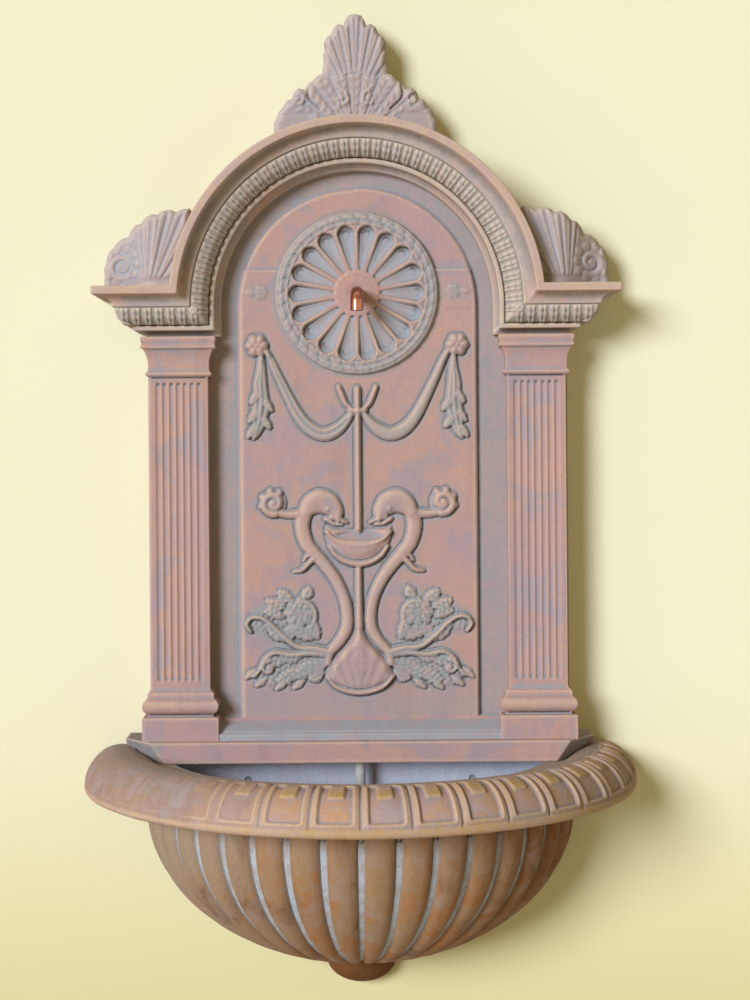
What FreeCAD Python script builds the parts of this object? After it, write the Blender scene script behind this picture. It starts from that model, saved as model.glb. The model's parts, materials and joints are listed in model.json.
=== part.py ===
import FreeCAD, Part
import math
import os

# Garden wall fountain: a cast half-bowl basin on the wall, a hollow-backed cast panel
# standing on it, a copper spout, and the pump, tube and hangers that make it work.
# +X right, +Y into the wall, +Z up. The wall is the plane y = 0, and z = 0 is the
# ledge where the panel's plinth meets the basin. All sizes are in millimetres.

V = FreeCAD.Vector

# Clearances
seatGap = 0.3
scribeGap = 1.0
slideGap = 0.3
boreEase = 0.2

# Basin bowl: outer half ellipse with gadroons
bowlRadius = 268.0
bowlDrop = 193.0
bowlShoulder = -61.0
gadroons = 19
gadroonRelief = 8.5
bowlLevels = 9
bowlFootRadius = 46.0
finialRadius = 44.0
finialDrop = 34.0
finialNeck = 10.0

# Basin rim: crest, ovolo front and flat soffit
rimCrestRadius = 288.0
rimCrestFlat = 12.0
rimCrestHeight = 12.0
rimOvolo = 45.0
rimSoffitDepth = 38.5
rimHeel = 7.0
ledgeRadius = 262.0
tongues = 19
tongueDepth = 3.0
tongueRidgeDeg = 3.4
tongueTopDeg = 80.0
tongueFootDeg = 4.0
tonguePast = 1.0

# Basin inside
basinWall = 32.0
cavityTopRadius = 242.0
cavityDrop = 160.0
basinFloor = -200.0
rearWall = 26.0
anchorHoleRadius = 4.5
anchorSpacing = 280.0
anchorHeight = -30.0

# Heights that follow the spout
spoutHeight = 573.0
archUnderSpout = 15.0
cleatOverSpout = 67.0
archCentre = spoutHeight - archUnderSpout
cleatHeight = spoutHeight + cleatOverSpout

# Panel field and its raised inner panel
bandFront = 40.0
fieldFront = 46.0
fieldHalfWidth = 148.0
fieldBottom = 54.0
nicheHalfWidth = 186.0
panelShell = 14.0

# Arch and cornice moulding
archOuter = 227.0
mouldWidth = 59.0
mouldBase = 64.0
mouldReach = 48.0
topFillet = 10.0
quirk = 6.0
cymaEnd = 22.0
cymaReach = 27.0
ovoloStart = 27.0
ovoloEnd = 45.0
ovoloReach = 8.0
lowFilletReach = 6.0
lowFilletEnd = 52.0
corniceRise = 23.0
corniceTop = archCentre + corniceRise
corniceCore = 266.0
sideReach = 54.0

# Pilasters
pilasterInner = 184.0
pilasterOuter = 256.0
pilasterFront = 62.0
abacusReach = 10.0
abacusHeight = 15.0
capitalHeight = 15.0
neckHeight = 13.0
astragalHeight = 6.0
abacusTop = corniceTop - mouldWidth
capitalBottom = abacusTop - abacusHeight - capitalHeight
neckBottom = capitalBottom - neckHeight
astragalBottom = neckBottom - astragalHeight
shaftBottom = 92.0
flareBottom = 84.0
filletBottom = 78.0
torusBottom = 58.0
blockTop = 55.0
blockReach = 11.0
flutes = 7
flutePitch = 8.4
fluteRadius = 2.9
fluteGap = 9.0
fluteTop = astragalBottom - fluteGap
fluteFoot = 100.0

# Plinth and sill
plinthTop = 26.0
plinthFront = 84.0
plinthHalfWidth = 291.0
plinthNose = 240.0
plinthNoseTop = 257.0
plinthReturn = 8.0
plinthReturnTop = 45.0
sillTop = 36.0
sillFront = 72.0

# Medallion
medallionLift = 2.0
medallionHeight = spoutHeight + medallionLift
medallionRadius = 101.0
medallionRelief = 9.0
petals = 18
petalInner = 31.0
petalInnerRound = 2.6
petalOuter = 75.5
petalOuterRound = 10.8
petalDepth = 6.5

# Relief on the field, in plain outline
reliefSink = 2.0
swagRise = 6.0
swagHalf = 6.0
tailHalf = 6.5
bossRadius = 13.6
bossX = 124.0
bossZ = 511.0
rodHalf = 4.3
rodTop = 456.0
prongX = 20.0
cupRise = 8.0
cupTop = 272.0
cupFoot = 242.0
cupHalf = 37.0
moundTop = 168.0
moundFoot = 80.0
moundHalf = 40.0
birdRise = 8.0
birdHalf = 7.0
curlRadius = 15.0
curlX = 104.0
curlZ = 318.0
flowerRadius = 17.0
flowerX = 75.0
flowerZ = 182.0
sprayRise = 5.0
sprayHalf = 8.0

# Crest and corner shells
ornamentDepth = 44.0
crestSeat = 13.0
crestFanRise = 76.0
crestFoot = archCentre + archOuter - crestSeat
crestHub = crestFoot + crestFanRise
crestPlate = 39.0
crestLeafPlate = 84.0
plateSink = 7.0
shellHubX = 214.0
shellPlate = 84.0
scrollCentreX = 288.0
scrollRise = 33.0
scrollCentreZ = corniceTop + scrollRise
scrollRadius = 26.0

# Copper spout and its fittings
spoutRadius = 8.0
spoutBore = 6.8
spoutBend = 15.0
spoutReach = 96.0
spoutDrop = 23.0
spoutTail = 12.0
flangeRadius = 15.0
flangeThickness = 3.0
locknutFlat = 27.0
locknutThickness = 7.0
gasketThickness = 2.0
elbowWall = 2.2
elbowBore = 3.2
elbowDrop = 16.0

# Supply tube
tubeRadius = 6.35
tubeBore = 4.75
tubeBackY = -15.0
tubeFrontY = -52.0
tubeBend = 60.0
tubeStraightEnd = 78.0
tubeCover = 16.0
clampThickness = 1.0
clampWidth = 8.0
clipLow = 190.0
clipMiddle = 330.0
clipTop = 460.0
clipWidth = 12.0
clipStrap = 1.5
clipFoot = 12.0
clipScrewBite = 7.5

# Hangers
cleatHalfLength = 105.0
cleatPlate = 2.0
cleatFlange = 26.0
cleatLip = 16.0
cleatOffset = 6.0
cleatHoleRadius = 2.75
cleatHoleSpacing = 80.0
hangerFlange = 24.0
hangerRise = 3.0
hangerScrewSpacing = 60.0
hangerScrewBite = 9.0
screwHead = 4.0
screwHeadHeight = 2.2
screwShank = 2.0

# Cord stopper
stopperX = 92.0
stopperZ = -62.0
stopperRadius = 11.0
stopperHead = 15.0
stopperHeadDepth = 4.0
stopperBore = 3.6

# Pump
pumpY = tubeFrontY
pumpHalfDepth = 19.0
pumpBase = -192.0
pumpHeight = 40.0
chamberHalf = 12.0
motorEnd = 46.0
coverEnd = -38.0
pumpShell = 2.5
rotorRadius = 8.0
rotorWell = 8.6
impellerRadius = 12.0
chamberRadius = 13.5
shaftRadius = 1.5
shaftBore = 1.6
spigotLength = 16.0
spigotFoot = 4.0
cupRadius = 7.0
dialRadius = 7.0
glandRise = 8.0
glandBore = 2.5


def box(x0, x1, y0, y1, z0, z1):
    return Part.makeBox(x1 - x0, y1 - y0, z1 - z0, V(x0, y0, z0))


def rod(radius, start, end):
    axis = end - start
    return Part.makeCylinder(radius, axis.Length, start, axis)


def mirrorX(shape):
    return shape.mirror(V(0, 0, 0), V(1, 0, 0))


def joined(shapes):
    whole = shapes[0].fuse(shapes[1:])
    return whole.removeSplitter()


def outline(steps, place):
    """Closed face from steps (u, v) or (u, v, um, vm), an arc through its middle point."""
    edges = []
    last = steps[-1]
    for step in steps:
        start = place(last[0], last[1])
        end = place(step[0], step[1])
        if len(step) == 4:
            edges.append(Part.Arc(start, place(step[2], step[3]), end).toShape())
        elif start.distanceToPoint(end) > 1e-6:
            edges.append(Part.LineSegment(start, end).toShape())
        last = step
    return Part.Face(Part.Wire(edges))


def onArc(cu, cv, radius, degrees):
    a = math.radians(degrees)
    return cu + radius * math.cos(a), cv + radius * math.sin(a)


def flats(start, middle, end, count):
    """Points on the arc through three points, after its start: small curves are made of flats."""
    arc = Part.Arc(V(start[0], start[1], 0), V(middle[0], middle[1], 0), V(end[0], end[1], 0))
    span = arc.LastParameter - arc.FirstParameter
    points = [arc.value(arc.FirstParameter + span * (index + 1) / count) for index in range(count)]
    return [(point.x, point.y) for point in points]


# Basin


def rimSection():
    """Section of the rim in radius and height, with its ledge and flat soffit."""
    flatEnd = rimCrestRadius + rimCrestFlat
    cv = rimCrestHeight - rimOvolo
    outer = onArc(flatEnd, cv, rimOvolo, 0)
    middle = onArc(flatEnd, cv, rimOvolo, 45)
    soffit = -rimSoffitDepth
    heel = onArc(outer[0] - rimHeel, soffit + rimHeel * 0.75, rimHeel * 0.75, -40)
    ledge = (ledgeRadius, 0)
    crestMiddle = (ledgeRadius + 16, rimCrestHeight - 2.5)
    steps = [(cavityTopRadius - 8, soffit), (cavityTopRadius - 8, 0), ledge]
    steps = steps + flats(ledge, crestMiddle, (rimCrestRadius, rimCrestHeight), 3)
    steps = steps + [(flatEnd, rimCrestHeight), outer + middle]
    return steps + flats(outer, heel, (outer[0] - rimHeel, soffit), 2)


def halfTurned(steps):
    section = outline(steps, lambda r, z: V(r, 0, z))
    return section.revolve(V(0, 0, 0), V(0, 0, 1), -180)


def tongueCut(start, width):
    """Sunk face of one tongue on the rim, following the ovolo at an even depth; angles in degrees."""
    cu = rimCrestRadius + rimCrestFlat
    cv = rimCrestHeight - rimOvolo
    inner = rimOvolo - tongueDepth
    outer = rimOvolo + 4
    middle = (tongueTopDeg + tongueFootDeg) / 2
    steps = [
        onArc(cu, cv, outer, tongueFootDeg) + onArc(cu, cv, outer, middle),
        onArc(cu, cv, inner, tongueFootDeg),
        onArc(cu, cv, inner, tongueTopDeg) + onArc(cu, cv, inner, middle),
        onArc(cu, cv, outer, tongueTopDeg),
    ]
    section = outline(steps, lambda r, z: V(r, 0, z))
    cut = section.revolve(V(0, 0, 0), V(0, 0, 1), -width)
    cut.rotate(V(0, 0, 0), V(0, 0, 1), -start)
    return cut


def tongueCuts():
    """All tongues: a ridge on the middle line, and a half tongue at each end."""
    pitch = 180.0 / tongues
    width = pitch - tongueRidgeDeg
    cuts = [tongueCut(pitch * (index + 0.5) + tongueRidgeDeg / 2, width) for index in range(tongues - 1)]
    end = width / 2 + tonguePast
    cuts.append(tongueCut(-tonguePast, end))
    cuts.append(tongueCut(180.0 + tonguePast - end, end))
    return cuts


def gadroonWire(radius, relief, z):
    """Level outline of the bowl: convex lobes with a valley in the middle, half a lobe at each end."""
    step = math.pi / gadroons
    valley = radius - relief

    def lobe(middle):
        return Part.Arc(spot(valley, middle - step / 2), spot(radius, middle), spot(valley, middle + step / 2))

    def spot(r, angle):
        return V(r * math.cos(angle), min(r * math.sin(angle), radius), z)

    def half(whole, start, quarter, end):
        span = whole.LastParameter - whole.FirstParameter
        return Part.Arc(start, whole.value(whole.FirstParameter + span * quarter), end).toShape()

    left = V(-radius, 0, z)
    right = V(radius, 0, z)
    edges = [half(lobe(math.pi), left, 0.75, spot(valley, math.pi + step / 2))]
    edges = edges + [lobe(math.pi + step * (index + 1)).toShape() for index in range(gadroons - 1)]
    edges.append(half(lobe(2 * math.pi), spot(valley, 2 * math.pi - step / 2), 0.25, right))
    edges.append(Part.LineSegment(right, left).toShape())
    return Part.Wire(edges)


def gadroonedBowl():
    wires = [gadroonWire(bowlRadius, gadroonRelief, -rimSoffitDepth + 1.0)]
    lastTurn = math.acos(bowlFootRadius / bowlRadius)
    for index in range(bowlLevels + 1):
        t = lastTurn * index / bowlLevels
        radius = bowlRadius * math.cos(t)
        relief = gadroonRelief * (0.25 + 0.75 * math.cos(t))
        wires.append(gadroonWire(radius, relief, bowlShoulder - bowlDrop * math.sin(t)))
    return Part.makeLoft(wires, True, True)


def finial():
    """Shallow drop under the bowl, on a short neck."""
    top = bowlShoulder - bowlDrop + finialNeck
    tip = bowlShoulder - bowlDrop - finialDrop
    neck = finialRadius - 4
    brim = (finialRadius, top - finialNeck - 4)
    steps = [(0, top + 8), (neck, top + 8), (neck, brim[1] + 8), (finialRadius, brim[1] + 3), brim]
    steps = steps + flats(brim, (finialRadius * 0.66, tip + 14), (8, tip + 2), 4)
    return halfTurned(steps + [(0, tip)])


def cavity():
    top = rimCrestHeight + 20
    radius = bowlRadius - basinWall
    turn = math.asin((bowlShoulder - basinFloor) / cavityDrop)
    floorRadius = radius * math.cos(turn)
    steps = [(0, top), (0, basinFloor)]
    middle = (radius * math.cos(turn / 2), bowlShoulder - cavityDrop * math.sin(turn / 2))
    steps.append((floorRadius, basinFloor))
    steps = steps + flats((floorRadius, basinFloor), middle, (radius, bowlShoulder), 6)
    steps.append((cavityTopRadius, 0))
    steps.append((cavityTopRadius, top))
    hollow = halfTurned(steps)
    return hollow.cut(box(-cavityTopRadius, cavityTopRadius, -rearWall, 10, basinFloor - 1, top + 1))


def makeBasin():
    rim = halfTurned(rimSection())
    rim = rim.cut(tongueCuts())
    back = box(-ledgeRadius + 6, ledgeRadius - 6, -rearWall - 2, 0, bowlShoulder, 0)
    body = joined([gadroonedBowl(), rim, back, finial()])
    body = body.cut(cavity())
    for side in (-1, 1):
        x = side * anchorSpacing / 2
        body = body.cut(rod(anchorHoleRadius, V(x, -rearWall - 5, anchorHeight), V(x, 5, anchorHeight)))
    bore = stopperRadius + slideGap
    body = body.cut(rod(bore, V(stopperX, -rearWall - 5, stopperZ), V(stopperX, 5, stopperZ)))
    return body


# Panel


def mouldSteps():
    """Moulding as (distance in from the outer edge, height over the base)."""
    cymaTop = (topFillet, mouldReach - quirk)
    cymaMid = ((topFillet + cymaEnd) / 2 - 2.0, (cymaTop[1] + cymaReach) / 2 - 3.0)
    ovoloTop = (ovoloStart - 3.0, cymaReach)
    ovoloMid = (ovoloStart + 15.0, cymaReach - 5.0)
    steps = [(0, mouldReach), (topFillet, mouldReach), cymaTop]
    steps = steps + flats(cymaTop, cymaMid, (cymaEnd, cymaReach), 3) + [ovoloTop]
    steps = steps + flats(ovoloTop, ovoloMid, (ovoloEnd, ovoloReach), 4)
    return steps + [
        (ovoloEnd, lowFilletReach),
        (lowFilletEnd, lowFilletReach),
        (lowFilletEnd, 0),
        (mouldWidth, 0),
    ]


def mouldRun(place, scale, base):
    """Moulding section face, closed down to the wall plane."""
    steps = [(step[0], base + step[1] * scale) for step in mouldSteps()]
    steps.append((mouldWidth, 0))
    steps.append((0, 0))
    return outline(steps, place)


def archAndCornice():
    corniceBottom = corniceTop - mouldWidth
    deep = mouldBase + mouldReach + 1
    crown = archCentre + archOuter + 1
    section = mouldRun(lambda s, d: V(-(archOuter - s), -d, archCentre), 1.0, mouldBase)
    arch = section.revolve(V(0, 0, archCentre), V(0, 1, 0), 180)
    jamb = section.extrude(V(0, 0, corniceBottom - archCentre))
    ring = joined([arch, jamb, mirrorX(jamb)])
    upper = ring.common(box(-archOuter, archOuter, -deep, 1, corniceTop, crown))
    lower = ring.common(box(-archOuter, archOuter, -deep, 1, corniceBottom, corniceTop))
    front = mouldRun(lambda s, d: V(0, -d, corniceTop - s), 1.0, mouldBase)
    half = corniceCore + sideReach
    run = front.extrude(V(half - archOuter + mouldWidth, 0, 0))
    run.translate(V(-half, 0, 0))
    sideScale = sideReach / mouldReach
    side = mouldRun(lambda s, d: V(-d, 0, corniceTop - s), sideScale, corniceCore)
    sides = side.extrude(V(0, -deep, 0))
    outer = run.common(sides).common(box(-half, -archOuter, -deep, 1, corniceBottom, crown))
    corner = run.common(lower)
    return joined([upper, outer, mirrorX(outer), corner, mirrorX(corner)])


def pilasterSteps():
    """Pilaster profile as (height, reach beyond the shaft), from the top down."""
    abacusBottom = abacusTop - abacusHeight
    torusMid = (filletBottom + torusBottom) / 2
    return [
        (abacusTop, abacusReach),
        (abacusBottom, abacusReach),
        (abacusBottom, abacusReach - 3),
        (capitalBottom, 1.5, capitalBottom + 6.0, 3.0),
        (neckBottom, 1.5),
        (astragalBottom, 1.5, (neckBottom + astragalBottom) / 2, 4.5),
        (astragalBottom, 0),
        (shaftBottom, 0),
        (flareBottom, 5.0, shaftBottom - 5.5, 1.3),
        (filletBottom, 5.0),
        (filletBottom, 4.0),
        (torusBottom, 4.0, torusMid, 11.0),
        (blockTop, 4.0),
        (blockTop, blockReach),
        (plinthTop - 6, blockReach),
    ]


def makePilaster():
    front = []
    left = []
    for step in pilasterSteps():
        if len(step) == 4:
            front.append((step[0], pilasterFront + step[1], step[2], pilasterFront + step[3]))
        else:
            front.append((step[0], pilasterFront + step[1]))
    low = plinthTop - 6
    face = outline(front + [(low, 0), (abacusTop, 0)], lambda z, d: V(0, -d, z))
    slab = face.extrude(V(2 * blockReach + pilasterOuter - pilasterInner + 8, 0, 0))
    slab.translate(V(-pilasterOuter - blockReach - 4, 0, 0))
    middle = (pilasterInner + pilasterOuter) / 2
    half = (pilasterOuter - pilasterInner) / 2
    for step in pilasterSteps():
        if len(step) == 4:
            left.append((step[0], half + step[1], step[2], half + step[3]))
        else:
            left.append((step[0], half + step[1]))
    sideFace = outline(left + [(low, 0), (abacusTop, 0)], lambda z, d: V(-d, 0, z))
    wedge = sideFace.extrude(V(0, -pilasterFront - 20, 0))
    both = joined([wedge, mirrorX(wedge)])
    both.translate(V(-middle, 0, 0))
    body = slab.common(both)
    grooves = []
    for index in range(flutes):
        x = -middle + (index - (flutes - 1) / 2) * flutePitch
        top = V(x, -pilasterFront - 0.6, fluteTop)
        foot = V(x, -pilasterFront - 0.6, fluteFoot)
        grooves.append(rod(fluteRadius, foot, top))
    return body.cut(Part.makeCompound(grooves))


def makePlinth():
    def plan(nose, back, z):
        half = [(-plinthHalfWidth, 0), (-plinthHalfWidth, -back), (-nose, -plinthFront)]
        other = [(-x, y) for x, y in half[::-1]]
        return outline(half + other, lambda x, y: V(x, y, z)).OuterWire

    foot = plan(plinthNose, plinthReturn, seatGap)
    body = Part.makeLoft([foot, plan(plinthNoseTop, plinthReturnTop, plinthTop)], True, True)
    grown = []
    for step in rimSection():
        moved = [step[0] - (scribeGap if step[0] < rimCrestRadius + 1 else 0), step[1] + scribeGap * 0.6]
        if len(step) == 4:
            moved = moved + [step[2] - scribeGap, step[3] + scribeGap * 0.6]
        grown.append(tuple(moved))
    grown[1] = (ledgeRadius - scribeGap, -10)
    grown[2] = (ledgeRadius - scribeGap, scribeGap * 0.6 - 1.0)
    grown[0] = (ledgeRadius - scribeGap, -rimSoffitDepth)
    return body.cut(halfTurned(grown))


def makeSill():
    steps = [
        (0, plinthTop - 4),
        (sillFront + 4, plinthTop - 4),
        (sillFront + 4, sillTop - 6),
        (sillFront, sillTop - 6),
        (sillFront, sillTop),
        (fieldFront - 2, fieldBottom, (sillFront + fieldFront) / 2 - 4, (sillTop + fieldBottom) / 2 - 3),
        (0, fieldBottom),
    ]
    face = outline(steps, lambda d, z: V(0, -d, z))
    body = face.extrude(V(2 * pilasterInner, 0, 0))
    body.translate(V(-pilasterInner, 0, 0))
    return body


def archedSlab(half, front, low, back=0.0):
    steps = [(-half, low), (half, low), (half, archCentre), (-half, archCentre, 0, archCentre + half)]
    face = outline(steps, lambda x, z: V(x, back, z))
    return face.extrude(V(0, -(front - back), 0))


def leaf(x0, z0, r0, x1, z1, r1, depth):
    """Flat leaf lobe: two rounds joined by their common tangents, standing on the wall plane."""
    length = math.hypot(x1 - x0, z1 - z0)
    ux = (x1 - x0) / length
    uz = (z1 - z0) / length
    lean = math.asin((r0 - r1) / length)
    ca = math.sin(lean)
    sa = math.cos(lean)
    left = (ux * ca - uz * sa, uz * ca + ux * sa)
    right = (ux * ca + uz * sa, uz * ca - ux * sa)
    steps = [
        (x0 + r0 * left[0], z0 + r0 * left[1], x0 - r0 * ux, z0 - r0 * uz),
        (x1 + r1 * left[0], z1 + r1 * left[1]),
        (x1 + r1 * right[0], z1 + r1 * right[1], x1 + r1 * ux, z1 + r1 * uz),
        (x0 + r0 * right[0], z0 + r0 * right[1]),
    ]
    face = outline(steps, lambda x, z: V(x, 0, z))
    return face.extrude(V(0, -depth, 0))


def makeMedallion():
    centre = V(0, -fieldFront + 2, medallionHeight)
    disc = Part.makeCylinder(medallionRadius, medallionRelief + 2, centre, V(0, -1, 0))
    cuts = []
    front = fieldFront + medallionRelief
    for index in range(petals):
        angle = (index + 0.5) * 360.0 / petals
        petal = leaf(0, petalInner, petalInnerRound, 0, petalOuter, petalOuterRound, petalDepth + 2)
        petal.translate(V(0, -(front - petalDepth), medallionHeight))
        petal.rotate(V(0, 0, medallionHeight), V(0, 1, 0), angle)
        cuts.append(petal)
    return disc.cut(Part.makeCompound(cuts))


def raised(steps, rise):
    """Flat relief with the given outline, standing on the field."""
    face = outline(steps, lambda x, z: V(x, -(fieldFront - reliefSink), z))
    return face.extrude(V(0, -(rise + reliefSink), 0))


def band(line, half, rise):
    """Relief band of even width along a bent line."""
    left = []
    right = []
    for index, (x, z) in enumerate(line):
        before = line[max(index - 1, 0)]
        after = line[min(index + 1, len(line) - 1)]
        size = math.hypot(after[0] - before[0], after[1] - before[1])
        dx = half * (after[0] - before[0]) / size
        dz = half * (after[1] - before[1]) / size
        left.append((x - dz, z + dx))
        right.append((x + dz, z - dx))
    return raised(left + right[::-1], rise)


def knob(x, z, radius, rise):
    """Eight-sided boss of relief."""
    corners = [onArc(x, z, radius, 45 * index + 22.5) for index in range(8)]
    return raised(corners, rise)


def makeRelief():
    """Festoons, candelabrum with its cup, drinking birds and leaf sprays."""
    knot = 429
    side = [
        knob(-bossX, bossZ, bossRadius, swagRise + 1),
        band([(-112, 500), (-90, 455), (-70, 423), (-43, 402), (-18, 411), (0, knot)], swagHalf, swagRise),
        band([(-122, 502), (-118, 450), (-122, 400)], tailHalf, swagRise - 1.5),
        band([(-prongX, rodTop), (-prongX * 0.9, knot + 8), (-3, knot)], rodHalf - 1, swagRise - 0.5),
        band([(-16, 290), (-25, 311), (-42, 322), (-59, 317), (-68, 302)], birdHalf + 1.5, birdRise + 1),
        band([(-68, 306), (-66, 280), (-42, 238), (-22, 207), (-12, 174), (-15, 148), (-34, 126)],
             birdHalf, birdRise),
        band([(-68, 308), (-90, 304), (-curlX, curlZ - 12)], birdHalf - 2, birdRise - 2),
        knob(-curlX, curlZ, curlRadius, birdRise - 1.5),
        knob(-flowerX, flowerZ, flowerRadius, sprayRise + 2),
        band([(-34, 130), (-70, 142), (-100, 156), (-132, 168)], sprayHalf, sprayRise),
        band([(-36, 124), (-70, 118), (-100, 112), (-130, 106)], sprayHalf + 1, sprayRise + 0.5),
    ]
    middle = [
        raised([(-rodHalf, cupTop), (rodHalf, cupTop), (rodHalf, rodTop), (-rodHalf, rodTop)], swagRise + 0.5),
        raised([(-cupHalf, cupTop), (-cupHalf * 0.9, cupTop - 14), (-cupHalf * 0.5, cupFoot),
                (cupHalf * 0.5, cupFoot), (cupHalf * 0.9, cupTop - 14), (cupHalf, cupTop)], cupRise - 0.5),
        raised([(-rodHalf, moundTop - 8), (rodHalf, moundTop - 8), (rodHalf, cupFoot + 8),
                (-rodHalf, cupFoot + 8)], swagRise - 1),
        raised([(0, moundTop), (-14, moundTop - 22), (-30, moundTop - 46), (-moundHalf, moundFoot + 18),
                (-24, moundFoot + 5), (0, moundFoot), (24, moundFoot + 5), (moundHalf, moundFoot + 18),
                (30, moundTop - 46), (14, moundTop - 22)], cupRise + 0.5),
    ]
    return side + [mirrorX(piece) for piece in side] + middle


def fan(hub, lobes, hubRadius, depth):
    """Shell of lobes round a hub: each lobe is (angle from up, length, tip radius)."""
    pieces = []
    for index, (angle, length, tip) in enumerate(lobes):
        a = math.radians(angle)
        x = hub[0] + (length - tip) * math.sin(a)
        z = hub[1] + (length - tip) * math.cos(a)
        pieces.append(leaf(hub[0], hub[1], hubRadius, x, z, tip, depth - 1.5 * (index % 2)))
    return pieces


def fanPlate(x, z, radius):
    """Plate that closes the gaps between the lobes of a fan, a little behind them."""
    return rod(radius, V(x, 0, z), V(x, -(ornamentDepth - plateSink), z))


def makeCrest():
    lobes = [(0, 74, 12), (21, 60, 10), (-21, 60, 10), (38, 54, 10), (-38, 54, 10), (62, 42, 9), (-62, 42, 9)]
    pieces = fan((0, crestHub), lobes, 7, ornamentDepth)
    spread = [(0, 62, 16), (35, 89, 13), (-35, 89, 13), (51, 92, 13), (-51, 92, 13)]
    spread = spread + [(67, 99, 13), (-67, 99, 13), (82, 103, 12), (-82, 103, 12)]
    pieces = pieces + fan((0, crestFoot - 2), spread, 12, ornamentDepth + 7)
    return pieces + [fanPlate(0, crestHub, crestPlate), fanPlate(0, crestFoot, crestLeafPlate)]


def makeCornerShell():
    """Left corner ornament: half shell against the arch with a round scroll outside it."""
    foot = corniceTop - 4
    lobes = [(-3, 96, 10), (-15, 100, 11), (-27, 102, 11), (-39, 101, 11), (-51, 101, 11)]
    pieces = fan((-shellHubX, foot), lobes, 12, ornamentDepth)
    centre = V(-scrollCentreX, 0, scrollCentreZ)
    pieces.append(Part.makeCylinder(scrollRadius, ornamentDepth + 4, centre, V(0, -1, 0)))
    pieces.append(leaf(-shellHubX - 10, foot + 5, 7, -scrollCentreX - 14, foot + 10, 9, ornamentDepth - 4))
    corner = box(-archOuter - shellPlate, -shellHubX, -ornamentDepth, 0, foot, foot + shellPlate + 4)
    pieces.append(fanPlate(-shellHubX, foot, shellPlate).common(corner))
    return pieces


def behind(x0, x1, z0, z1, depth):
    return box(x0, x1, -depth, 1, z0, z1)


def makePanel():
    slab = archedSlab(nicheHalfWidth, bandFront, plinthTop - 4)
    inset = archedSlab(fieldHalfWidth, fieldFront, fieldBottom - 4)
    pilaster = makePilaster()
    shells = makeCornerShell()
    wings = box(-pilasterOuter - 4, -pilasterInner + 6, -bandFront, 0, plinthTop - 4, corniceTop - 10)
    pieces = [slab, inset, archAndCornice(), pilaster, mirrorX(pilaster), makePlinth(), makeSill()]
    pieces = pieces + [wings, mirrorX(wings), makeMedallion()] + makeRelief()
    pieces = pieces + shells + [mirrorX(piece) for piece in shells] + makeCrest()
    body = joined(pieces)
    inner = fieldFront - panelShell
    hollow = archedSlab(fieldHalfWidth + 6, inner, -1, 0).fuse(
        behind(-fieldHalfWidth - 6, fieldHalfWidth + 6, -1, sillTop - 8, sillFront - panelShell)
    )
    hollow = hollow.fuse(makeBackSlope())
    body = body.cut(hollow)
    for side in (-1, 1):
        a = side * (pilasterInner + 6)
        b = side * (pilasterOuter - 8)
        low = plinthTop + panelShell
        high = corniceTop - panelShell
        body = body.cut(behind(min(a, b), max(a, b), low, high, pilasterFront - panelShell))
    body = body.cut(rod(spoutRadius + boreEase, V(0, -spoutReach, spoutHeight), V(0, 0, spoutHeight)))
    for x, z in clipScrewPlaces():
        body = body.cut(rod(screwShank, V(x, -inner - clipScrewBite, z), V(x, 0, z)))
    for x in hangerScrewPlaces():
        z = hangerScrewHeight()
        body = body.cut(rod(screwShank, V(x, -inner - hangerScrewBite, z), V(x, 0, z)))
    return body


def clipScrewPlaces():
    reach = tubeRadius + clipStrap + clipFoot / 2
    return [(side * reach, z) for z in (clipLow, clipMiddle, clipTop) for side in (-1, 1)]


def hangerScrewPlaces():
    return [(index - 1.5) * hangerScrewSpacing for index in range(4)]


def hangerScrewHeight():
    return cleatHeight + cleatLip + hangerRise - hangerFlange / 2


def makeBackSlope():
    """Hollow behind the sill, sloped as its front is, where the supply tube comes forward."""
    steps = [
        (0, sillTop - 10),
        (sillFront - panelShell, sillTop - 10),
        (sillFront - panelShell, sillTop - 8),
        (fieldFront - panelShell, fieldBottom),
        (0, fieldBottom),
    ]
    face = outline(steps, lambda d, z: V(0, -d, z))
    body = face.extrude(V(2 * fieldHalfWidth + 12, 0, 0))
    body.translate(V(-fieldHalfWidth - 6, 0, 0))
    return body


# Spout and tube


def alongPath(edges, radius, bore):
    """Round tube along tangent straight and arc edges."""
    path = Part.Wire(edges)
    start = path.OrderedVertexes[0].Point
    ahead = path.OrderedEdges[0].tangentAt(path.OrderedEdges[0].FirstParameter)
    solids = []
    for r in (radius, bore):
        ring = Part.Wire(Part.makeCircle(r, start, ahead))
        solids.append(path.makePipeShell([ring], True, True))
    return solids[0].cut(solids[1])


def cornerArc(corner, before, after, radius):
    """Arc that rounds a right-angled corner, with its two tangent points."""
    a = corner + before * radius
    b = corner + after * radius
    centre = corner + before * radius + after * radius
    middle = centre + (corner - centre).normalize() * radius
    return a, b, Part.Arc(a, middle, b).toShape()


def makeSpout():
    corner = V(0, -spoutReach, spoutHeight)
    a, b, bend = cornerArc(corner, V(0, 1, 0), V(0, 0, -1), spoutBend)
    back = V(0, -(fieldFront - panelShell) + spoutTail, spoutHeight)
    tip = V(0, -spoutReach, spoutHeight - spoutDrop)
    edges = [Part.LineSegment(back, a).toShape(), bend, Part.LineSegment(b, tip).toShape()]
    return alongPath(edges, spoutRadius, spoutBore)


def insideFace():
    return -(fieldFront - panelShell)


def makeGasket():
    y = insideFace()
    ring = rod(flangeRadius, V(0, y, spoutHeight), V(0, y + gasketThickness, spoutHeight))
    return ring.cut(rod(spoutRadius, V(0, y - 1, spoutHeight), V(0, y + 9, spoutHeight)))


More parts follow.
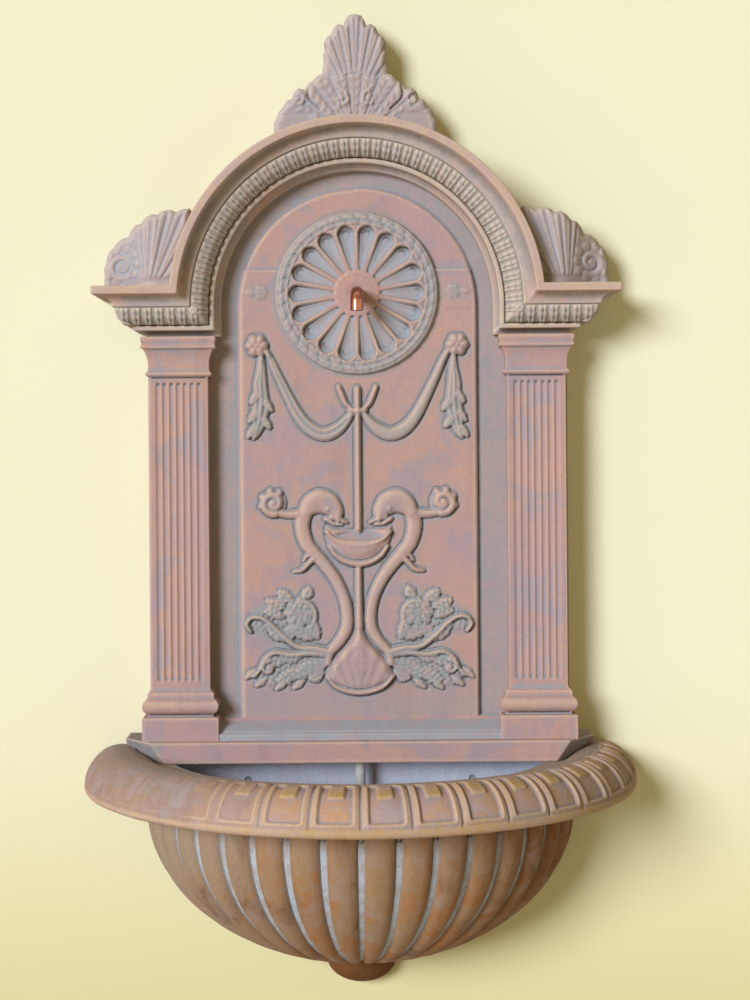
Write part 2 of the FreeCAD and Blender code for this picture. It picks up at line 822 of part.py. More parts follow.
def makeLocknut():
    y = insideFace() + gasketThickness
    corners = []
    for index in range(6):
        a = math.radians(60 * index)
        r = locknutFlat / 2 / math.cos(math.pi / 6)
        corners.append((r * math.cos(a), spoutHeight + r * math.sin(a)))
    face = outline(corners, lambda x, z: V(x, y, z))
    nut = face.extrude(V(0, locknutThickness - 2.5, 0))
    return nut.cut(rod(spoutRadius, V(0, y - 1, spoutHeight), V(0, y + 9, spoutHeight)))


def makeElbowFitting():
    """Barbed elbow: socket over the spout tail, spigot down into the supply tube."""
    y0 = insideFace() + gasketThickness + locknutThickness - 2.0
    shoulder = spoutHeight - elbowDrop
    socket = rod(spoutRadius + elbowWall, V(0, y0, spoutHeight), V(0, tubeBackY + tubeRadius + 2.5, spoutHeight))
    stem = rod(tubeRadius + 1.2, V(0, tubeBackY, spoutHeight), V(0, tubeBackY, shoulder))
    spigot = rod(tubeBore, V(0, tubeBackY, spoutHeight), V(0, tubeBackY, shoulder - tubeCover))
    body = joined([socket, stem, spigot])
    tail = insideFace() + spoutTail
    body = body.cut(rod(spoutRadius, V(0, y0 - 1, spoutHeight), V(0, tail, spoutHeight)))
    low = shoulder - tubeCover - 10
    body = body.cut(rod(elbowBore, V(0, tubeBackY, spoutHeight), V(0, tubeBackY, low)))
    return body.cut(rod(elbowBore, V(0, tail - 1, spoutHeight), V(0, tubeBackY, spoutHeight)))


def tubePath():
    """Supply tube: down behind the panel, forward past the basin's back, down to the pump."""
    offset = tubeBackY - tubeFrontY
    turn = math.acos(1 - offset / (2 * tubeBend))
    top = V(0, tubeBackY, spoutHeight - elbowDrop)
    p1 = V(0, tubeBackY, tubeStraightEnd)
    c1 = p1 + V(0, -tubeBend, 0)
    m1 = c1 + V(0, tubeBend * math.cos(turn / 2), -tubeBend * math.sin(turn / 2))
    p2 = c1 + V(0, tubeBend * math.cos(turn), -tubeBend * math.sin(turn))
    c2 = V(0, tubeFrontY + tubeBend, tubeStraightEnd - 2 * tubeBend * math.sin(turn))
    m2 = c2 - V(0, tubeBend * math.cos(turn / 2), -tubeBend * math.sin(turn / 2))
    p3 = V(0, tubeFrontY, c2.z)
    end = V(0, tubeFrontY, pumpBase + pumpHeight + spigotFoot)
    length = (top - p1).Length + (p3 - end).Length + 2 * tubeBend * turn
    edges = [
        Part.LineSegment(top, p1).toShape(),
        Part.Arc(p1, m1, p2).toShape(),
        Part.Arc(p2, m2, p3).toShape(),
        Part.LineSegment(p3, end).toShape(),
    ]
    return edges, length


def makeTube():
    edges, length = tubePath()
    tube = alongPath(edges, tubeRadius, tubeBore)
    ring = math.pi * (tubeRadius ** 2 - tubeBore ** 2)
    print("supply tube: bend radius", tubeBend, "length", round(length, 1), "volume share", round(
        tube.Volume / (ring * length), 5))
    return tube


def makeTubeClamp():
    z = spoutHeight - elbowDrop - 4 - clampWidth / 2
    outer = tubeRadius + clampThickness
    band = rod(outer, V(0, tubeBackY, z - clampWidth / 2), V(0, tubeBackY, z + clampWidth / 2))
    worm = box(outer - 2, outer + 7, tubeBackY - 4, tubeBackY + 4, z - 5, z + 5)
    screw = rod(2.6, V(outer + 3, tubeBackY - 6.5, z), V(outer + 3, tubeBackY + 6.5, z))
    body = joined([band, worm, screw])
    return body.cut(rod(tubeRadius, V(0, tubeBackY, z - 20), V(0, tubeBackY, z + 20)))


def makeClips():
    """Saddle clips that hold the tube to the inside of the panel."""
    clips = []
    screws = []
    outer = tubeRadius + clipStrap
    y = insideFace()
    for z in (clipLow, clipMiddle, clipTop):
        z0 = z - clipWidth / 2
        z1 = z + clipWidth / 2
        saddle = rod(outer, V(0, tubeBackY, z0), V(0, tubeBackY, z1))
        sides = box(-outer, outer, y, tubeBackY, z0, z1)
        feet = box(-outer - clipFoot, outer + clipFoot, y, y + clipStrap, z0, z1)
        body = joined([saddle, sides, feet])
        body = body.cut(rod(tubeRadius, V(0, tubeBackY, z0 - 5), V(0, tubeBackY, z1 + 5)))
        body = body.cut(box(-tubeRadius, tubeRadius, y - 5, tubeBackY, z0 - 5, z1 + 5))
        for side in (-1, 1):
            x = side * (outer + clipFoot / 2)
            body = body.cut(rod(screwShank, V(x, y - 5, z), V(x, y + 5, z)))
        clips.append(body)
    for x, z in clipScrewPlaces():
        screws.append(panScrew(x, z, y + clipStrap, clipStrap + clipScrewBite))
    return Part.makeCompound(clips), Part.makeCompound(screws)


def panScrew(x, z, seat, length):
    """Pan-head screw along Y, head toward the wall, seated at y = seat."""
    head = rod(screwHead, V(x, seat, z), V(x, seat + screwHeadHeight, z))
    shank = rod(screwShank, V(x, seat, z), V(x, seat - length, z))
    return joined([head, shank])


# Hangers


def makeWallCleat():
    """Z-shaped wall bar: flange on the wall, jog forward and lip up."""
    z = cleatHeight
    t = cleatPlate
    steps = [
        (0, z - cleatFlange),
        (0, z),
        (cleatOffset, z),
        (cleatOffset, z + cleatLip),
        (cleatOffset + t, z + cleatLip),
        (cleatOffset + t, z - t),
        (t, z - t),
        (t, z - cleatFlange),
    ]
    bar = outline(steps, lambda d, h: V(0, -d, h)).extrude(V(2 * cleatHalfLength, 0, 0))
    bar.translate(V(-cleatHalfLength, 0, 0))
    for side in (-1, 0, 1):
        x = side * cleatHoleSpacing
        hole = z - cleatFlange / 2 - t / 2
        bar = bar.cut(rod(cleatHoleRadius, V(x, -20, hole), V(x, 5, hole)))
    return bar


def makePanelHanger():
    """Bar on the back of the panel: its lip drops behind the lip of the wall bar."""
    t = cleatPlate
    inner = fieldFront - panelShell
    low = cleatHeight + seatGap
    web = cleatHeight + cleatLip + hangerRise
    front = cleatOffset - 0.4
    steps = [
        (front, low),
        (front, web),
        (inner - t, web),
        (inner - t, web - hangerFlange),
        (inner, web - hangerFlange),
        (inner, web + t),
        (front - t, web + t),
        (front - t, low),
    ]
    bar = outline(steps, lambda d, h: V(0, -d, h)).extrude(V(2 * cleatHalfLength - 10, 0, 0))
    bar.translate(V(-cleatHalfLength + 5, 0, 0))
    screws = []
    z = hangerScrewHeight()
    for x in hangerScrewPlaces():
        bar = bar.cut(rod(screwShank, V(x, -inner - 5, z), V(x, -inner + 10, z)))
        screws.append(panScrew(x, z, -inner + t, t + hangerScrewBite))
    return bar, Part.makeCompound(screws)


def makeStopper():
    """Rubber stopper in the basin's back, bored for a cord."""
    face = -rearWall
    plug = rod(stopperRadius, V(stopperX, face, stopperZ), V(stopperX, -1.0, stopperZ))
    head = rod(stopperHead, V(stopperX, face - stopperHeadDepth, stopperZ), V(stopperX, face - seatGap, stopperZ))
    plug = joined([plug, head, rod(stopperRadius, V(stopperX, face - 1, stopperZ), V(stopperX, face, stopperZ))])
    return plug.cut(rod(stopperBore, V(stopperX, -60, stopperZ), V(stopperX, 5, stopperZ)))


# Pump


def roundedBox(x0, x1, y0, y1, z0, z1, radius):
    body = box(x0, x1, y0, y1, z0, z1)
    edges = [e for e in body.Edges if abs(e.tangentAt(e.FirstParameter).x) > 0.9]
    return body.makeFillet(radius, edges)


def pumpAxisZ():
    return pumpBase + pumpHeight / 2


def makePumpHousing():
    """Sealed motor block with the rotor well in its chamber end."""
    z = pumpAxisZ()
    y0 = pumpY - pumpHalfDepth
    y1 = pumpY + pumpHalfDepth
    body = roundedBox(-chamberHalf, motorEnd, y0, y1, pumpBase, pumpBase + pumpHeight, 4)
    ribs = []
    for index in range(4):
        x = chamberHalf + 8 + index * 7
        ribs.append(box(x, x + 2, y0 - 1, y1 + 1, pumpBase + 6, pumpBase + pumpHeight - 6))
    body = joined([body] + ribs)
    body = body.cut(rod(chamberRadius, V(-chamberHalf - 1, pumpY, z), V(chamberHalf - 14, pumpY, z)))
    body = body.cut(rod(rotorWell, V(-chamberHalf - 1, pumpY, z), V(motorEnd - 8, pumpY, z)))
    gland = z + glandRise
    return body.cut(rod(glandBore, V(motorEnd - 4, pumpY, gland), V(motorEnd + 5, pumpY, gland)))


def makeVolute():
    """Chamber cover with the suction eye and the outlet spigot."""
    z = pumpAxisZ()
    plate = roundedBox(-chamberHalf - 3, -chamberHalf, pumpY - 15, pumpY + 15, z - 16, z + 16, 3)
    plate = plate.cut(rod(5, V(-chamberHalf - 9, pumpY, z), V(0, pumpY, z)))
    cross = box(-chamberHalf - 3, -chamberHalf, pumpY - 5.5, pumpY + 5.5, z - 1.2, z + 1.2)
    hub = rod(3.2, V(-chamberHalf - 3, pumpY, z), V(-chamberHalf, pumpY, z))
    plate = joined([plate, cross, hub])
    return plate.cut(rod(shaftRadius, V(-chamberHalf - 9, pumpY, z), V(5, pumpY, z)))


def makeOutlet():
    """Outlet spigot on top of the chamber, for the supply tube."""
    top = pumpBase + pumpHeight
    foot = rod(8.0, V(0, pumpY, top), V(0, pumpY, top + spigotFoot - seatGap))
    spigot = rod(tubeBore - slideGap, V(0, pumpY, top), V(0, pumpY, top + spigotFoot + spigotLength))
    body = joined([foot, spigot])
    return body.cut(rod(3.0, V(0, pumpY, top - 5), V(0, pumpY, top + 60)))


def makeImpeller():
    z = pumpAxisZ()
    magnet = rod(rotorRadius, V(chamberHalf - 12, pumpY, z), V(motorEnd - 11, pumpY, z))
    disc = rod(impellerRadius, V(chamberHalf - 16, pumpY, z), V(chamberHalf - 14.5, pumpY, z))
    neck = rod(5, V(chamberHalf - 16, pumpY, z), V(chamberHalf - 11, pumpY, z))
    pieces = [magnet, disc, neck]
    for index in range(6):
        blade = box(-chamberHalf + 2, chamberHalf - 15, -0.7, 0.7, 3.0, impellerRadius - 0.5)
        blade.rotate(V(0, 0, 0), V(1, 0, 0), 60 * index)
        blade.translate(V(0, pumpY, z))
        pieces.append(blade)
    pieces.append(rod(3.6, V(-chamberHalf + 2, pumpY, z), V(chamberHalf - 15, pumpY, z)))
    body = joined(pieces)
    return body.cut(rod(shaftBore, V(-60, pumpY, z), V(60, pumpY, z)))


def makeShaft():
    z = pumpAxisZ()
    return rod(shaftRadius, V(-chamberHalf - 2.5, pumpY, z), V(motorEnd - 8.5, pumpY, z))


def makeBushes():
    z = pumpAxisZ()
    rear = rod(rotorWell, V(motorEnd - 10.5, pumpY, z), V(motorEnd - 8, pumpY, z))
    rear = rear.cut(rod(shaftRadius, V(0, pumpY, z), V(60, pumpY, z)))
    front = rod(3.0, V(-chamberHalf, pumpY, z), V(-chamberHalf + 1.6, pumpY, z))
    front = front.cut(rod(shaftRadius, V(-60, pumpY, z), V(60, pumpY, z)))
    return Part.makeCompound([rear, front])


def makeIntakeCover():
    """Slotted strainer cover that slides off the end of the pump."""
    z = pumpAxisZ()
    y0 = pumpY - pumpHalfDepth
    y1 = pumpY + pumpHalfDepth
    x1 = -chamberHalf - seatGap
    body = roundedBox(coverEnd, x1, y0, y1, pumpBase, pumpBase + pumpHeight, 4)
    inside = roundedBox(
        coverEnd + pumpShell, x1 + 5, y0 + pumpShell, y1 - pumpShell,
        pumpBase + pumpShell, pumpBase + pumpHeight - pumpShell, 2)
    body = body.cut(inside)
    slots = []
    for index in range(5):
        x = coverEnd + 5 + index * 4
        slots.append(box(x, x + 1.8, y0 - 2, y1 + 2, pumpBase + 8, pumpBase + pumpHeight - 8))
    body = body.cut(Part.makeCompound(slots))
    window = rod(dialRadius - 2.5, V(coverEnd - 2, pumpY, z), V(coverEnd + 5, pumpY, z))
    return body.cut(window)


def makeDial():
    """Flow dial on the end of the cover: turns to shut the suction window."""
    z = pumpAxisZ()
    x0 = coverEnd - seatGap
    disc = rod(dialRadius, V(x0 - 2.5, pumpY, z), V(x0, pumpY, z))
    grip = box(x0 - 6, x0 - 2, pumpY - 1.2, pumpY + 1.2, z - dialRadius + 1, z + dialRadius - 1)
    pin = rod(dialRadius - 2.5 - slideGap, V(x0, pumpY, z), V(coverEnd + pumpShell + 1, pumpY, z))
    port = rod(1.8, V(x0 - 9, pumpY + 4.6, z + 1), V(x0 + 1, pumpY + 4.6, z + 1))
    return joined([disc, grip, pin]).cut(port)


def makeCups():
    cups = []
    floor = basinFloor
    for x in (2, motorEnd - 10):
        for y in (pumpY - 10, pumpY + 10):
            lip = Part.makeCone(cupRadius, 3.0, 5.0, V(x, y, floor), V(0, 0, 1))
            stem = rod(2.5, V(x, y, floor + 4), V(x, y, pumpBase))
            hollow = Part.makeCone(cupRadius - 1.5, 1.5, 3.0, V(x, y, floor), V(0, 0, 1))
            cups.append(joined([lip, stem]).cut(hollow))
    return Part.makeCompound(cups)


def makeGland():
    """Sealed cable outlet of the motor block."""
    z = pumpAxisZ() + glandRise
    boss = rod(5.0, V(motorEnd, pumpY, z), V(motorEnd + 3, pumpY, z))
    sleeve = Part.makeCone(4.2, 3.4, 9, V(motorEnd + 3, pumpY, z), V(1, 0, 0))
    root = rod(glandBore, V(motorEnd - 4, pumpY, z), V(motorEnd, pumpY, z))
    return joined([boss, sleeve, root])


clips, clipScrews = makeClips()
hanger, hangerScrews = makePanelHanger()
parts = {
    "basin": makeBasin(),
    "back_panel": makePanel(),
    "spout": makeSpout(),
    "spout_gasket": makeGasket(),
    "spout_locknut": makeLocknut(),
    "spout_elbow_fitting": makeElbowFitting(),
    "supply_tube": makeTube(),
    "tube_clamp": makeTubeClamp(),
    "tube_clips": clips,
    "tube_clip_screws": clipScrews,
    "panel_hanger": hanger,
    "panel_hanger_screws": hangerScrews,
    "wall_cleat": makeWallCleat(),
    "cord_stopper": makeStopper(),
    "pump_housing": makePumpHousing(),
    "pump_volute_cover": makeVolute(),
    "pump_outlet": makeOutlet(),
    "pump_impeller": makeImpeller(),
    "pump_shaft": makeShaft(),
    "pump_shaft_bushes": makeBushes(),
    "pump_intake_cover": makeIntakeCover(),
    "pump_flow_dial": makeDial(),
    "pump_suction_cups": makeCups(),
    "pump_cable_gland": makeGland(),
}

os.makedirs("parts", exist_ok=True)
for name, shape in parts.items():
    print(name, "valid", shape.isValid(), "solids", len(shape.Solids), "faces", len(shape.Faces),
          "volume", round(shape.Volume))
    shape.exportStep("parts/" + name + ".step")
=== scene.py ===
import json
import math
import bmesh
import bpy
import numpy as np
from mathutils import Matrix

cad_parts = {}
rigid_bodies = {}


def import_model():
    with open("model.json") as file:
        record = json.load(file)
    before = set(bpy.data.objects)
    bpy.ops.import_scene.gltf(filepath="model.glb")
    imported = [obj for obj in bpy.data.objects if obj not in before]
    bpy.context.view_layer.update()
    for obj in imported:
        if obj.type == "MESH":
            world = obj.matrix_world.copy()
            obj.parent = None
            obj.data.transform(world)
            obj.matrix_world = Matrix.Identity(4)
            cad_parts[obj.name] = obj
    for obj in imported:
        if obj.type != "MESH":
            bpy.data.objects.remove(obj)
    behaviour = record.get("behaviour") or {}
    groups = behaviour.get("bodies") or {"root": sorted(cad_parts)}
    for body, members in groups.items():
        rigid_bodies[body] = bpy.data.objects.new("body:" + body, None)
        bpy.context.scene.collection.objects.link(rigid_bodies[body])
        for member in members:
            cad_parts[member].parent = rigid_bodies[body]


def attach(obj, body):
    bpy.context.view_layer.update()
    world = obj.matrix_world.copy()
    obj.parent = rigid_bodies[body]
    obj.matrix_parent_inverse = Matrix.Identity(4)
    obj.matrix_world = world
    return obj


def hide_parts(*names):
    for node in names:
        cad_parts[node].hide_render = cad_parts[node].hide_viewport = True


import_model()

# Garden wall fountain: the cast panel and basin are modelled here in full relief over the
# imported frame; pump, tube and hangers keep their own shapes and get their finishes.
# Lengths below are in millimetres unless a line says otherwise; +X right, -Y towards the viewer.

mm = 0.001
scene = bpy.context.scene
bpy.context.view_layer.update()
print("frame loaded")


# Shape helpers

def smoothStep(low, high, value):
    share = np.clip((value - low) / (high - low), 0.0, 1.0)
    return share * share * (3.0 - 2.0 * share)


def arcPoints(centreA, centreB, radius, startDeg, endDeg, count):
    turns = np.radians(np.linspace(startDeg, endDeg, count))
    return [(centreA + radius * math.cos(t), centreB + radius * math.sin(t)) for t in turns]


def throughThree(start, middle, end, count):
    # points on the circle that passes through three points of a plane
    ax, ay = start
    bx, by = middle
    cx, cy = end
    d = 2.0 * (ax * (by - cy) + bx * (cy - ay) + cx * (ay - by))
    sa = ax * ax + ay * ay
    sb = bx * bx + by * by
    sc = cx * cx + cy * cy
    ux = (sa * (by - cy) + sb * (cy - ay) + sc * (ay - by)) / d
    uy = (sa * (cx - bx) + sb * (ax - cx) + sc * (bx - ax)) / d
    a0 = math.atan2(ay - uy, ax - ux)
    a1 = math.atan2(by - uy, bx - ux)
    a2 = math.atan2(cy - uy, cx - ux)
    full = 2.0 * math.pi
    sweep = (a2 - a0) % full
    if (a1 - a0) % full > sweep:
        sweep = sweep - full
    radius = math.hypot(ax - ux, ay - uy)
    turns = a0 + sweep * np.linspace(0.0, 1.0, count)
    return [(ux + radius * math.cos(t), uy + radius * math.sin(t)) for t in turns]


def evenLine(points, spacing, soften=1):
    # the same line with evenly spaced points and its corners worn a little
    points = np.array(points, float)
    along = np.concatenate([[0.0], np.cumsum(np.linalg.norm(np.diff(points, axis=0), axis=1))])
    count = max(3, int(round(along[-1] / spacing)) + 1)
    even = np.linspace(0.0, along[-1], count)
    line = np.stack([np.interp(even, along, points[:, k]) for k in range(points.shape[1])], axis=1)
    for turn in range(soften):
        line[1:-1] = line[1:-1] * 0.5 + (line[:-2] + line[2:]) * 0.25
    return line


def lineNormals(line):
    # unit normals of a profile, square to its way
    slope = np.gradient(np.array(line, float), axis=0)
    normal = np.stack([-slope[:, 1], slope[:, 0]], axis=1)
    return normal / np.linalg.norm(normal, axis=1)[:, None]


def ringPoints(radius, height, angle):
    # points of a turned surface round the upright axis
    parts = np.broadcast_arrays(radius * np.cos(angle), radius * np.sin(angle), height + 0 * angle)
    return np.stack(parts, axis=-1)


def smoothCurve(points, spacing):
    # rounded line through given points
    points = np.array(points, float)
    padded = np.vstack([2 * points[0] - points[1], points, 2 * points[-1] - points[-2]])
    out = []
    for k in range(1, len(padded) - 2):
        a, b, c, d = padded[k - 1:k + 3]
        count = max(2, int(np.linalg.norm(c - b) / spacing) + 1)
        for t in np.linspace(0.0, 1.0, count, endpoint=False):
            out.append(0.5 * (2 * b + (c - a) * t + (2 * a - 5 * b + 4 * c - d) * t * t
                              + (3 * b - a - 3 * c + d) * t ** 3))
    out.append(padded[-2])
    return np.array(out)


def gridFaces(rows, cols, start=0):
    index = np.arange(rows * cols).reshape(rows, cols) + start
    corners = [index[:-1, :-1], index[:-1, 1:], index[1:, 1:], index[1:, :-1]]
    return np.stack(corners, axis=-1).reshape(-1, 4)


def newMesh(name, points, faces, edges=()):
    # points in mm
    mesh = bpy.data.meshes.new(name)
    mesh.from_pydata((np.asarray(points, float) * mm).tolist(), list(edges), faces)
    mesh.polygons.foreach_set("use_smooth", [True] * len(mesh.polygons))
    mesh.update()
    return mesh


def addObject(name, data):
    thing = bpy.data.objects.new(name, data)
    scene.collection.objects.link(thing)
    return thing


def newPiece(name, points, faces, core):
    # core is a point inside the piece, in mm: faces are turned to look away from it
    points = np.asarray(points, float)
    faces = np.asarray(faces)
    a = points[faces[:, 0]]
    b = points[faces[:, 1]]
    c = points[faces[:, 2]]
    outward = np.einsum("ij,ij->", np.cross(b - a, c - a), (a + c) / 2 - np.array(core, float))
    if outward < 0:
        faces = faces[:, ::-1]
    return addObject(name, newMesh(name, points, faces.tolist()))


def gridPiece(name, points, core):
    rows, cols = points.shape[:2]
    return newPiece(name, points.reshape(-1, 3), gridFaces(rows, cols), core)


def piecePoints(piece):
    place = np.empty(len(piece.data.vertices) * 3)
    piece.data.vertices.foreach_get("co", place)
    return place.reshape(-1, 3) / mm


def movePoints(piece, place):
    piece.data.vertices.foreach_set("co", (place * mm).ravel())
    piece.data.update()


def storePoints(piece, name, values):
    # one number for each point, or the same for all
    mesh = piece.data
    layer = mesh.attributes.get(name) or mesh.attributes.new(name, "FLOAT", "POINT")
    layer.data.foreach_set("value", (np.ravel(values) * np.ones(len(mesh.vertices))).astype(np.float32))


def readPoints(piece, name):
    values = np.empty(len(piece.data.vertices))
    piece.data.attributes[name].data.foreach_get("value", values)
    return values


def paintPoints(piece, name, shares):
    # a share from 0 to 1 that the materials read
    storePoints(piece, name, np.clip(shares, 0.0, 1.0))


def recessMap(piece, reaches=((2.5, 0.5), (8.0, 1.6))):
    # stores how deep each point sits in a hollow (over 0.5) or stands on an edge (under 0.5)
    mesh = piece.data
    count = len(mesh.vertices)
    place = piecePoints(piece)
    normal = np.empty(count * 3)
    mesh.vertices.foreach_get("normal", normal)
    normal = normal.reshape(-1, 3)
    edges = np.empty(len(mesh.edges) * 2, dtype=np.int64)
    mesh.edges.foreach_get("vertices", edges)
    a, b = edges.reshape(-1, 2).T
    degree = np.maximum(np.bincount(a, minlength=count) + np.bincount(b, minlength=count), 1)[:, None]
    step = np.median(np.linalg.norm(place[a] - place[b], axis=1))
    total = np.zeros(count)
    moved = place.copy()
    done = 0
    for reach, full in reaches:
        rounds = int(min(80, max(2, (reach / step) ** 2 * 1.5)))
        for turn in range(rounds - done):
            near = np.stack([np.bincount(a, moved[b, k], count) + np.bincount(b, moved[a, k], count)
                             for k in range(3)], axis=1)
            moved = 0.4 * moved + 0.6 * near / degree
        done = max(done, rounds)
        total += np.clip(np.einsum("ij,ij->i", moved - place, normal) / full, -1.0, 1.0)
    paintPoints(piece, "recess", 0.5 + 0.5 * total / len(reaches))


# each moving body's casting: its material slot and the frame's solid that it stands for
castings = {"panel": ("cast_stone_panel", "back_panel"), "basin": ("cast_stone", "basin")}


def settle(piece, body):
    slot, node = castings[body]
    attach(piece, body)
    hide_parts(node)


# Geometry Nodes helpers

def newTree(name, inputs):
    tree = bpy.data.node_groups.new(name, "GeometryNodeTree")
    tree.interface.new_socket("Geometry", in_out="INPUT", socket_type="NodeSocketGeometry")
    for label, kind in inputs:
        tree.interface.new_socket(label, in_out="INPUT", socket_type="NodeSocket" + kind)
    tree.interface.new_socket("Geometry", in_out="OUTPUT", socket_type="NodeSocketGeometry")
    return tree, tree.nodes.new("NodeGroupInput"), tree.nodes.new("NodeGroupOutput")


def addNode(tree, kind, settings=None, values=None):
    node = tree.nodes.new(kind)
    for key, value in (settings or {}).items():
        setattr(node, key, value)
    for key, value in (values or {}).items():
        if isinstance(value, bpy.types.NodeSocket):
            tree.links.new(value, node.inputs[key])
        else:
            node.inputs[key].default_value = value
    return node


def mathNode(tree, operation, first, second):
    return addNode(tree, "ShaderNodeMath", {"operation": operation}, {0: first, 1: second}).outputs[0]


def runTree(piece, tree, values):
    modifier = piece.modifiers.new("shape", "NODES")
    modifier.node_group = tree
    for item in tree.interface.items_tree:
        if item.in_out == "INPUT" and item.name in values:
            modifier[item.identifier] = values[item.name]
    graph = bpy.context.evaluated_depsgraph_get()
    mesh = bpy.data.meshes.new_from_object(piece.evaluated_get(graph))
    piece.modifiers.remove(modifier)
    piece.data = mesh
    return piece


def endTree(tree, last, groupIn, groupOut):
    # every tree ends realized, smooth and with its material
    real = addNode(tree, "GeometryNodeRealizeInstances", values={"Geometry": last})
    merged = addNode(tree, "GeometryNodeMergeByDistance",
                     values={"Geometry": real.outputs[0], "Distance": 0.03 * mm})
    smooth = addNode(tree, "GeometryNodeSetShadeSmooth", values={"Geometry": merged.outputs[0]})
    paint = addNode(tree, "GeometryNodeSetMaterial",
                    values={"Geometry": smooth.outputs[0], "Material": groupIn.outputs["Material"]})
    tree.links.new(paint.outputs[0], groupOut.inputs[0])


def turnedTree():
    # one sector repeated round an axis through the origin
    inputs = [("Count", "Int"), ("Pitch", "Float"), ("Start", "Float"), ("Axis", "Vector"),
              ("Material", "Material")]
    tree, groupIn, groupOut = newTree("turnedRepeat", inputs)
    line = addNode(tree, "GeometryNodeMeshLine",
                   values={"Count": groupIn.outputs["Count"], "Offset": (0, 0, 0)})
    index = addNode(tree, "GeometryNodeInputIndex")
    angle = addNode(tree, "ShaderNodeMath", {"operation": "MULTIPLY_ADD"},
                    {0: index.outputs[0], 1: groupIn.outputs["Pitch"], 2: groupIn.outputs["Start"]})
    turn = addNode(tree, "FunctionNodeAxisAngleToRotation",
                   values={"Axis": groupIn.outputs["Axis"], "Angle": angle.outputs[0]})
    copies = addNode(tree, "GeometryNodeInstanceOnPoints",
                     values={"Points": line.outputs[0], "Instance": groupIn.outputs["Geometry"],
                             "Rotation": turn.outputs[0]})
    endTree(tree, copies.outputs[0], groupIn, groupOut)
    return tree


def castTree():
    # the slight swell and pitting that a casting has all over
    inputs = [("Swell", "Float"), ("Swell Size", "Float"), ("Pits", "Float"), ("Pit Size", "Float"),
              ("Seed", "Float"), ("Material", "Material")]
    tree, groupIn, groupOut = newTree("castSurface", inputs)
    normal = addNode(tree, "GeometryNodeInputNormal")
    moves = []
    for amount, size, detail in (("Swell", "Swell Size", 2.0), ("Pits", "Pit Size", 3.0)):
        scale = mathNode(tree, "DIVIDE", 1.0, groupIn.outputs[size])
        noise = addNode(tree, "ShaderNodeTexNoise", {"noise_dimensions": "4D"},
                        {"W": groupIn.outputs["Seed"], "Scale": scale, "Detail": detail, "Roughness": 0.55})
        centred = mathNode(tree, "SUBTRACT", noise.outputs[0], 0.5)
        moves.append(mathNode(tree, "MULTIPLY", centred, groupIn.outputs[amount]))
    push = addNode(tree, "ShaderNodeVectorMath", {"operation": "SCALE"},
                   {0: normal.outputs[0], "Scale": mathNode(tree, "ADD", *moves)})
    moved = addNode(tree, "GeometryNodeSetPosition",
                    values={"Geometry": groupIn.outputs["Geometry"], "Offset": push.outputs[0]})
    endTree(tree, moved.outputs[0], groupIn, groupOut)
    return tree


def railTree():
    # one ornament repeated along a rail, standing on the rail's stored outward direction
    inputs = [("Pitch", "Float"), ("Ornament", "Object"), ("Material", "Material")]
    tree, groupIn, groupOut = newTree("railRepeat", inputs)
    curve = addNode(tree, "GeometryNodeMeshToCurve", values={"Mesh": groupIn.outputs["Geometry"]})
    spaced = addNode(tree, "GeometryNodeResampleCurve", {"mode": "LENGTH"},
                     {"Curve": curve.outputs[0], "Length": groupIn.outputs["Pitch"]})
    tangent = addNode(tree, "GeometryNodeInputTangent")
    outward = addNode(tree, "GeometryNodeInputNamedAttribute", {"data_type": "FLOAT_VECTOR"},
                      {"Name": "outward"})
    first = addNode(tree, "FunctionNodeAlignRotationToVector", {"axis": "X"},
                    {"Vector": tangent.outputs[0]})
    second = addNode(tree, "FunctionNodeAlignRotationToVector", {"axis": "Z", "pivot_axis": "X"},
                     {"Rotation": first.outputs[0], "Vector": outward.outputs[0]})
    ornament = addNode(tree, "GeometryNodeObjectInfo", {"transform_space": "ORIGINAL"},
                       {"Object": groupIn.outputs["Ornament"]})
    copies = addNode(tree, "GeometryNodeInstanceOnPoints",
                     values={"Points": spaced.outputs[0], "Instance": ornament.outputs["Geometry"],
                             "Rotation": second.outputs[0]})
    endTree(tree, copies.outputs[0], groupIn, groupOut)
    return tree


turnedRepeat = turnedTree()
castSurface = castTree()
railRepeat = railTree()


def turnRound(sector, copies, pitch, start, axis, material):
    # a half turn starts half a sector behind the wall, so it takes one copy more
    values = {"Count": copies, "Pitch": pitch, "Start": start, "Axis": axis, "Material": material}
    runTree(sector, turnedRepeat, values)


# Materials

def newMaterial(name):
    material = bpy.data.materials.new(name)
    material.use_nodes = True
    tree = material.node_tree
    tree.nodes.clear()
    out = tree.nodes.new("ShaderNodeOutputMaterial")
    shader = tree.nodes.new("ShaderNodeBsdfPrincipled")
    tree.links.new(shader.outputs[0], out.inputs[0])
    return material, tree, shader


def noiseFrom(tree, coordinates, featureSize, detail=3.0, roughness=0.55, distortion=0.0):
    # feature size in mm
    values = {"Vector": coordinates, "Scale": 1000.0 / featureSize, "Detail": detail, "Roughness": roughness,
              "Distortion": distortion}
    return addNode(tree, "ShaderNodeTexNoise", values=values).outputs["Fac"]


def ramp(tree, value, low, high, toLow=0.0, toHigh=1.0):
    node = addNode(tree, "ShaderNodeMapRange", {"interpolation_type": "SMOOTHSTEP"},
                   {"Value": value, "From Min": low, "From Max": high, "To Min": toLow, "To Max": toHigh})
    return node.outputs["Result"]


def blendColour(tree, share, first, second, mode="MIX"):
    node = addNode(tree, "ShaderNodeMix", {"data_type": "RGBA", "blend_type": mode})
    for key, value in ((0, share), (6, first), (7, second)):
        if isinstance(value, bpy.types.NodeSocket):
            tree.links.new(value, node.inputs[key])
        elif key == 0:
            node.inputs[0].default_value = value
        else:
            node.inputs[key].default_value = linear(value)
    return node.outputs[2]


